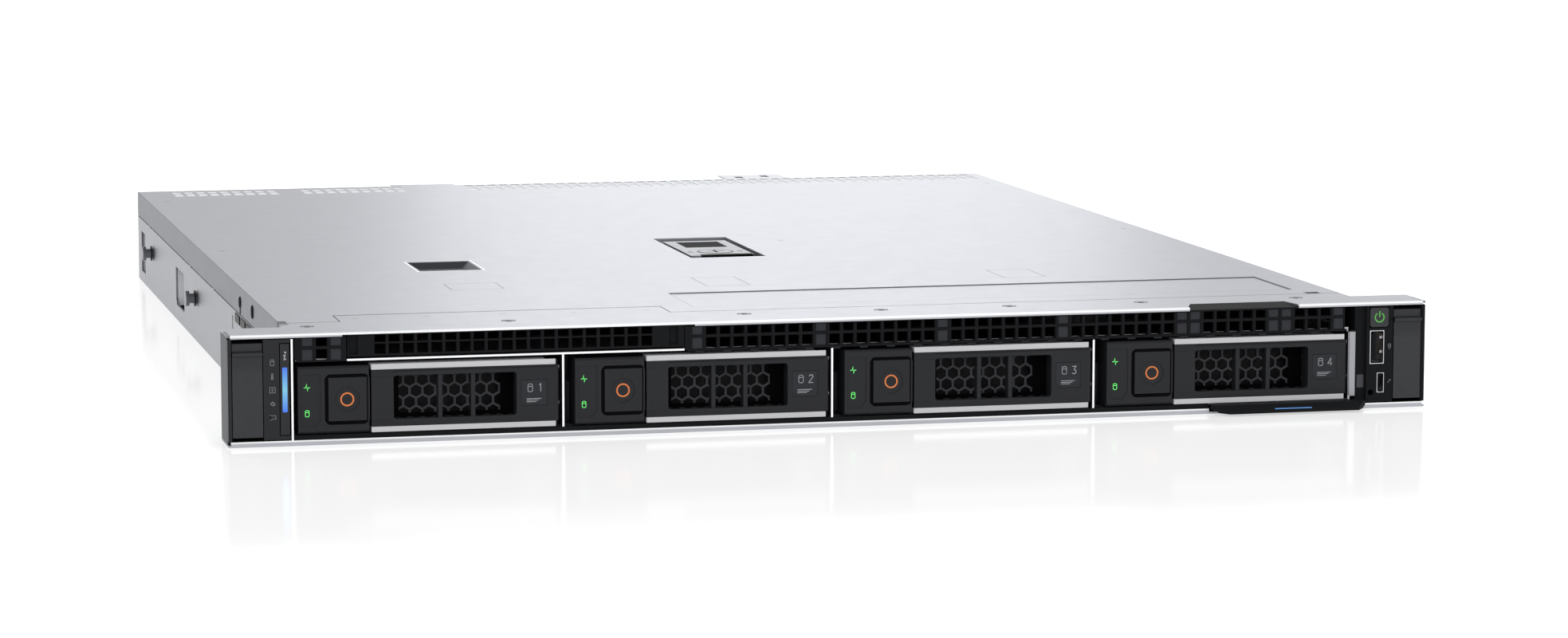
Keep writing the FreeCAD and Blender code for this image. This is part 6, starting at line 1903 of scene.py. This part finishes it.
@dataclass
class Inside:
    """Small parts of the main board."""

    nodes: dict
    board: str = "system_board"
    above: tuple[str, ...] = ("top_cover", "cover_latch", "cover_lock", "cables")
    parts: int = 420
    edge: float = 4.0
    rear_edge: float = 24.0
    clear: float = 2.4
    slack: float = 0.05
    sunk: float = 0.05
    high: float = 60.0
    resistor: Place = (2.0, 1.2, 0.6)
    capacitor: Place = (1.6, 2.4, 1.0)
    chip: Place = (3.6, 3.6, 1.1)

    def build(self) -> None:
        """Solder three kinds of chip parts to the free board, at places drawn with a fixed seed."""
        board = box_of(self.board)
        draw = random.Random(SEED)
        trees = [BVHTree.FromPolygons([corner.co / MM for corner in node.data.vertices],
                                      [face.vertices for face in node.data.polygons])
                 for name, node in self.nodes.items() if name not in self.above]
        places: list[list[Place]] = [[], [], []]
        for number in range(self.parts):
            across = round(draw.uniform(board.left + self.edge, board.right - self.edge))
            along = round(draw.uniform(board.front + self.edge, board.back - self.rear_edge))
            if self.free(trees, across, along, board.high):
                places[number % len(places)].append((across, along, board.high))
        kinds = (("chip_resistors", PARTS, self.resistor),
                 ("chip_capacitors", SOCKET_WHITE, self.capacitor),
                 ("small_chips", PARTS, self.chip))
        for spots, (name, finish, (wide, long, high)) in zip(places, kinds):
            part = Sketch().bar((-wide / 2, -long / 2, -self.sunk), (wide / 2, long / 2, high))
            Repeat.copies(name, spots, part, finish, "root")

    def free(self, trees: list[BVHTree], across: float, along: float, board_top: float) -> bool:
        """Whether nothing stands on the board at a place or close around it.

        Args:
            trees: search trees of the nodes that could stand there.
            across: place from left to right in millimetres.
            along: place from front to rear.
            board_top: height of the bare board.

        Returns:
            True where a part fits.
        """
        for side in (-self.clear, 0, self.clear):
            for ahead in (-self.clear, 0, self.clear):
                start = Vector((across + side, along + ahead, self.high))
                hits = [tree.ray_cast(start, Vector((0, 0, -1)))[0] for tree in trees]
                top = max((hit.z for hit in hits if hit), default=0.0)
                if abs(top - board_top) > self.slack:
                    return False
        return True


@dataclass
class Stage:
    """Camera, lamps, floor and world."""

    eye: Place = (-445.79, -1753.29, 266.3)
    yaw: float = 13.67
    pitch: float = 7.14
    roll: float = -0.04
    lens: float = 106.07
    sensor: float = 36.0
    sight: Point = (0.05, 60.0)
    floor_half: float = 9000.0
    floor_tone: float = 0.5
    floor_glow: float = 0.57
    floor_roughness: float = 0.11
    floor_specular: float = 0.14
    ambient: float = 0.82
    zenith: float = 0.55
    paler_between: Point = (20.0, 55.0)

    def build(self) -> None:
        """Make everything that isn't the object."""
        bpy.context.scene.view_settings.view_transform = "Standard"
        self.camera()
        self.floor()
        self.world()
        self.lamp("overhead_softbox", (100, 350, 1600), (0, 250, 0), (1600, 1600), 5.0, mirrored=False)
        self.lamp("rear_strip", (612, 2625, 700), (100, 300, 40), (710, 1200), 3.25)
        self.lamp("right_strip", (1340, 2500, 700), (100, 300, 40), (460, 1200), 0.8)
        self.lamp("front_fill", (-900, -1700, 800), (0, 0, 20), (1000, 1000), 5.2, mirrored=False)

    def camera(self) -> None:
        """Camera at its place, looking a little to the right and down."""
        data = bpy.data.cameras.new("camera")
        data.lens = self.lens
        data.sensor_width = self.sensor
        data.clip_start, data.clip_end = self.sight
        eye = bpy.data.objects.new("camera", data)
        eye.location = Vector(self.eye) * MM
        eye.rotation_euler = [math.radians(angle) for angle in (90 - self.pitch, self.roll, -self.yaw)]
        bpy.context.scene.collection.objects.link(eye)
        bpy.context.scene.camera = eye

    def lamp(self, name: str, place: Place, target: Place, size: Point, power: float,
             mirrored: bool = True) -> None:
        """Soft panel lamp aimed at a point; the camera never sees it.

        Args:
            name: name of the lamp.
            place: where it hangs in millimetres.
            target: point that it faces.
            size: width and height of its panel in millimetres.
            power: its power in watts.
            mirrored: metal shows it.
        """
        data = bpy.data.lights.new(name, "AREA")
        data.shape = "RECTANGLE"
        data.size, data.size_y = size[0] * MM, size[1] * MM
        data.energy = power
        lamp = bpy.data.objects.new(name, data)
        lamp.visible_camera = False
        lamp.visible_glossy = mirrored
        lamp.location = Vector(place) * MM
        lamp.rotation_euler = (Vector(target) - Vector(place)).to_track_quat("-Z", "Y").to_euler()
        bpy.context.scene.collection.objects.link(lamp)

    def floor(self) -> None:
        """Plain polished floor, near white; what it lacks in light it glows for the camera and in gloss."""
        half = self.floor_half * MM
        corners = [(-half, -half, 0), (half, -half, 0), (half, half, 0), (-half, half, 0)]
        data = bpy.data.meshes.new("floor")
        data.from_pydata(corners, [], [(0, 1, 2, 3)])
        floor = bpy.data.objects.new("floor", data)
        bpy.context.scene.collection.objects.link(floor)
        finish = bpy.data.materials.new("pale_floor")
        finish.use_nodes = True
        tree = finish.node_tree
        shader = tree.nodes["Principled BSDF"]
        shader.inputs["Base Color"].default_value = (self.floor_tone,) * 3 + (1,)
        shader.inputs["Roughness"].default_value = self.floor_roughness
        shader.inputs["Specular IOR Level"].default_value = self.floor_specular
        shader.inputs["Emission Color"].default_value = (1, 1, 1, 1)
        glow = add(tree, "ShaderNodeMath", {0: self.seen(tree), 1: self.floor_glow}, operation="MULTIPLY")
        tree.links.new(glow.outputs[0], shader.inputs["Emission Strength"])
        data.materials.append(finish)

    @staticmethod
    def seen(tree: Tree) -> Socket:
        """One for rays from the camera, off gloss or through glass, else nought.

        Args:
            tree: tree of the floor or the world.

        Returns:
            Socket with that share.
        """
        path = add(tree, "ShaderNodeLightPath")
        gloss = add(tree, "ShaderNodeMath",
                    {0: path.outputs["Is Camera Ray"], 1: path.outputs["Is Glossy Ray"]},
                    operation="MAXIMUM")
        through = add(tree, "ShaderNodeMath", {0: gloss.outputs[0], 1: path.outputs["Is Transmission Ray"]},
                      operation="MAXIMUM")
        return through.outputs[0]

    def world(self) -> None:
        """Even light from all round, and a white background wherever it is seen."""
        world = bpy.data.worlds.new("studio")
        bpy.context.scene.world = world
        world.use_nodes = True
        tree = world.node_tree
        strength = add(tree, "ShaderNodeMapRange", {"Value": self.seen(tree), "To Min": self.ambient,
                                                    "To Max": 1.0})
        way = add(tree, "ShaderNodeTexCoord").outputs["Generated"]
        rise = add(tree, "ShaderNodeSeparateXYZ", {0: way}).outputs["Z"]
        low, high = (math.sin(math.radians(angle)) for angle in self.paler_between)
        shade = add(tree, "ShaderNodeMapRange",
                    {"Value": rise, "From Min": low, "From Max": high, "To Min": 1.0,
                                                 "To Max": self.zenith}, interpolation_type="SMOOTHSTEP")
        gloss = add(tree, "ShaderNodeLightPath").outputs["Is Glossy Ray"]
        share = add(tree, "ShaderNodeMapRange", {"Value": gloss, "To Min": 1.0, "To Max": shade.outputs[0]})
        level = add(tree, "ShaderNodeMath", {0: strength.outputs[0], 1: share.outputs[0]},
                    operation="MULTIPLY")
        background = tree.nodes["Background"]
        background.inputs["Color"].default_value = (1, 1, 1, 1)
        tree.links.new(level.outputs[0], background.inputs["Strength"])


def main() -> None:
    """Build the stage, dress the frame and add every piece in order."""
    logging.basicConfig(level=logging.INFO, format="%(message)s")
    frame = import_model()
    Stage().build()
    Frame(frame["record"], frame["nodes"]).dress()
    for number in range(1, BAYS + 1):
        DriveCarrier(number).build()
    FrontFace().build()
    ControlEars().build()
    TopSheet().build()
    Sides().build()
    Rear().build()
    Inside(frame["nodes"]).build()


if __name__ == "__main__":
    main()
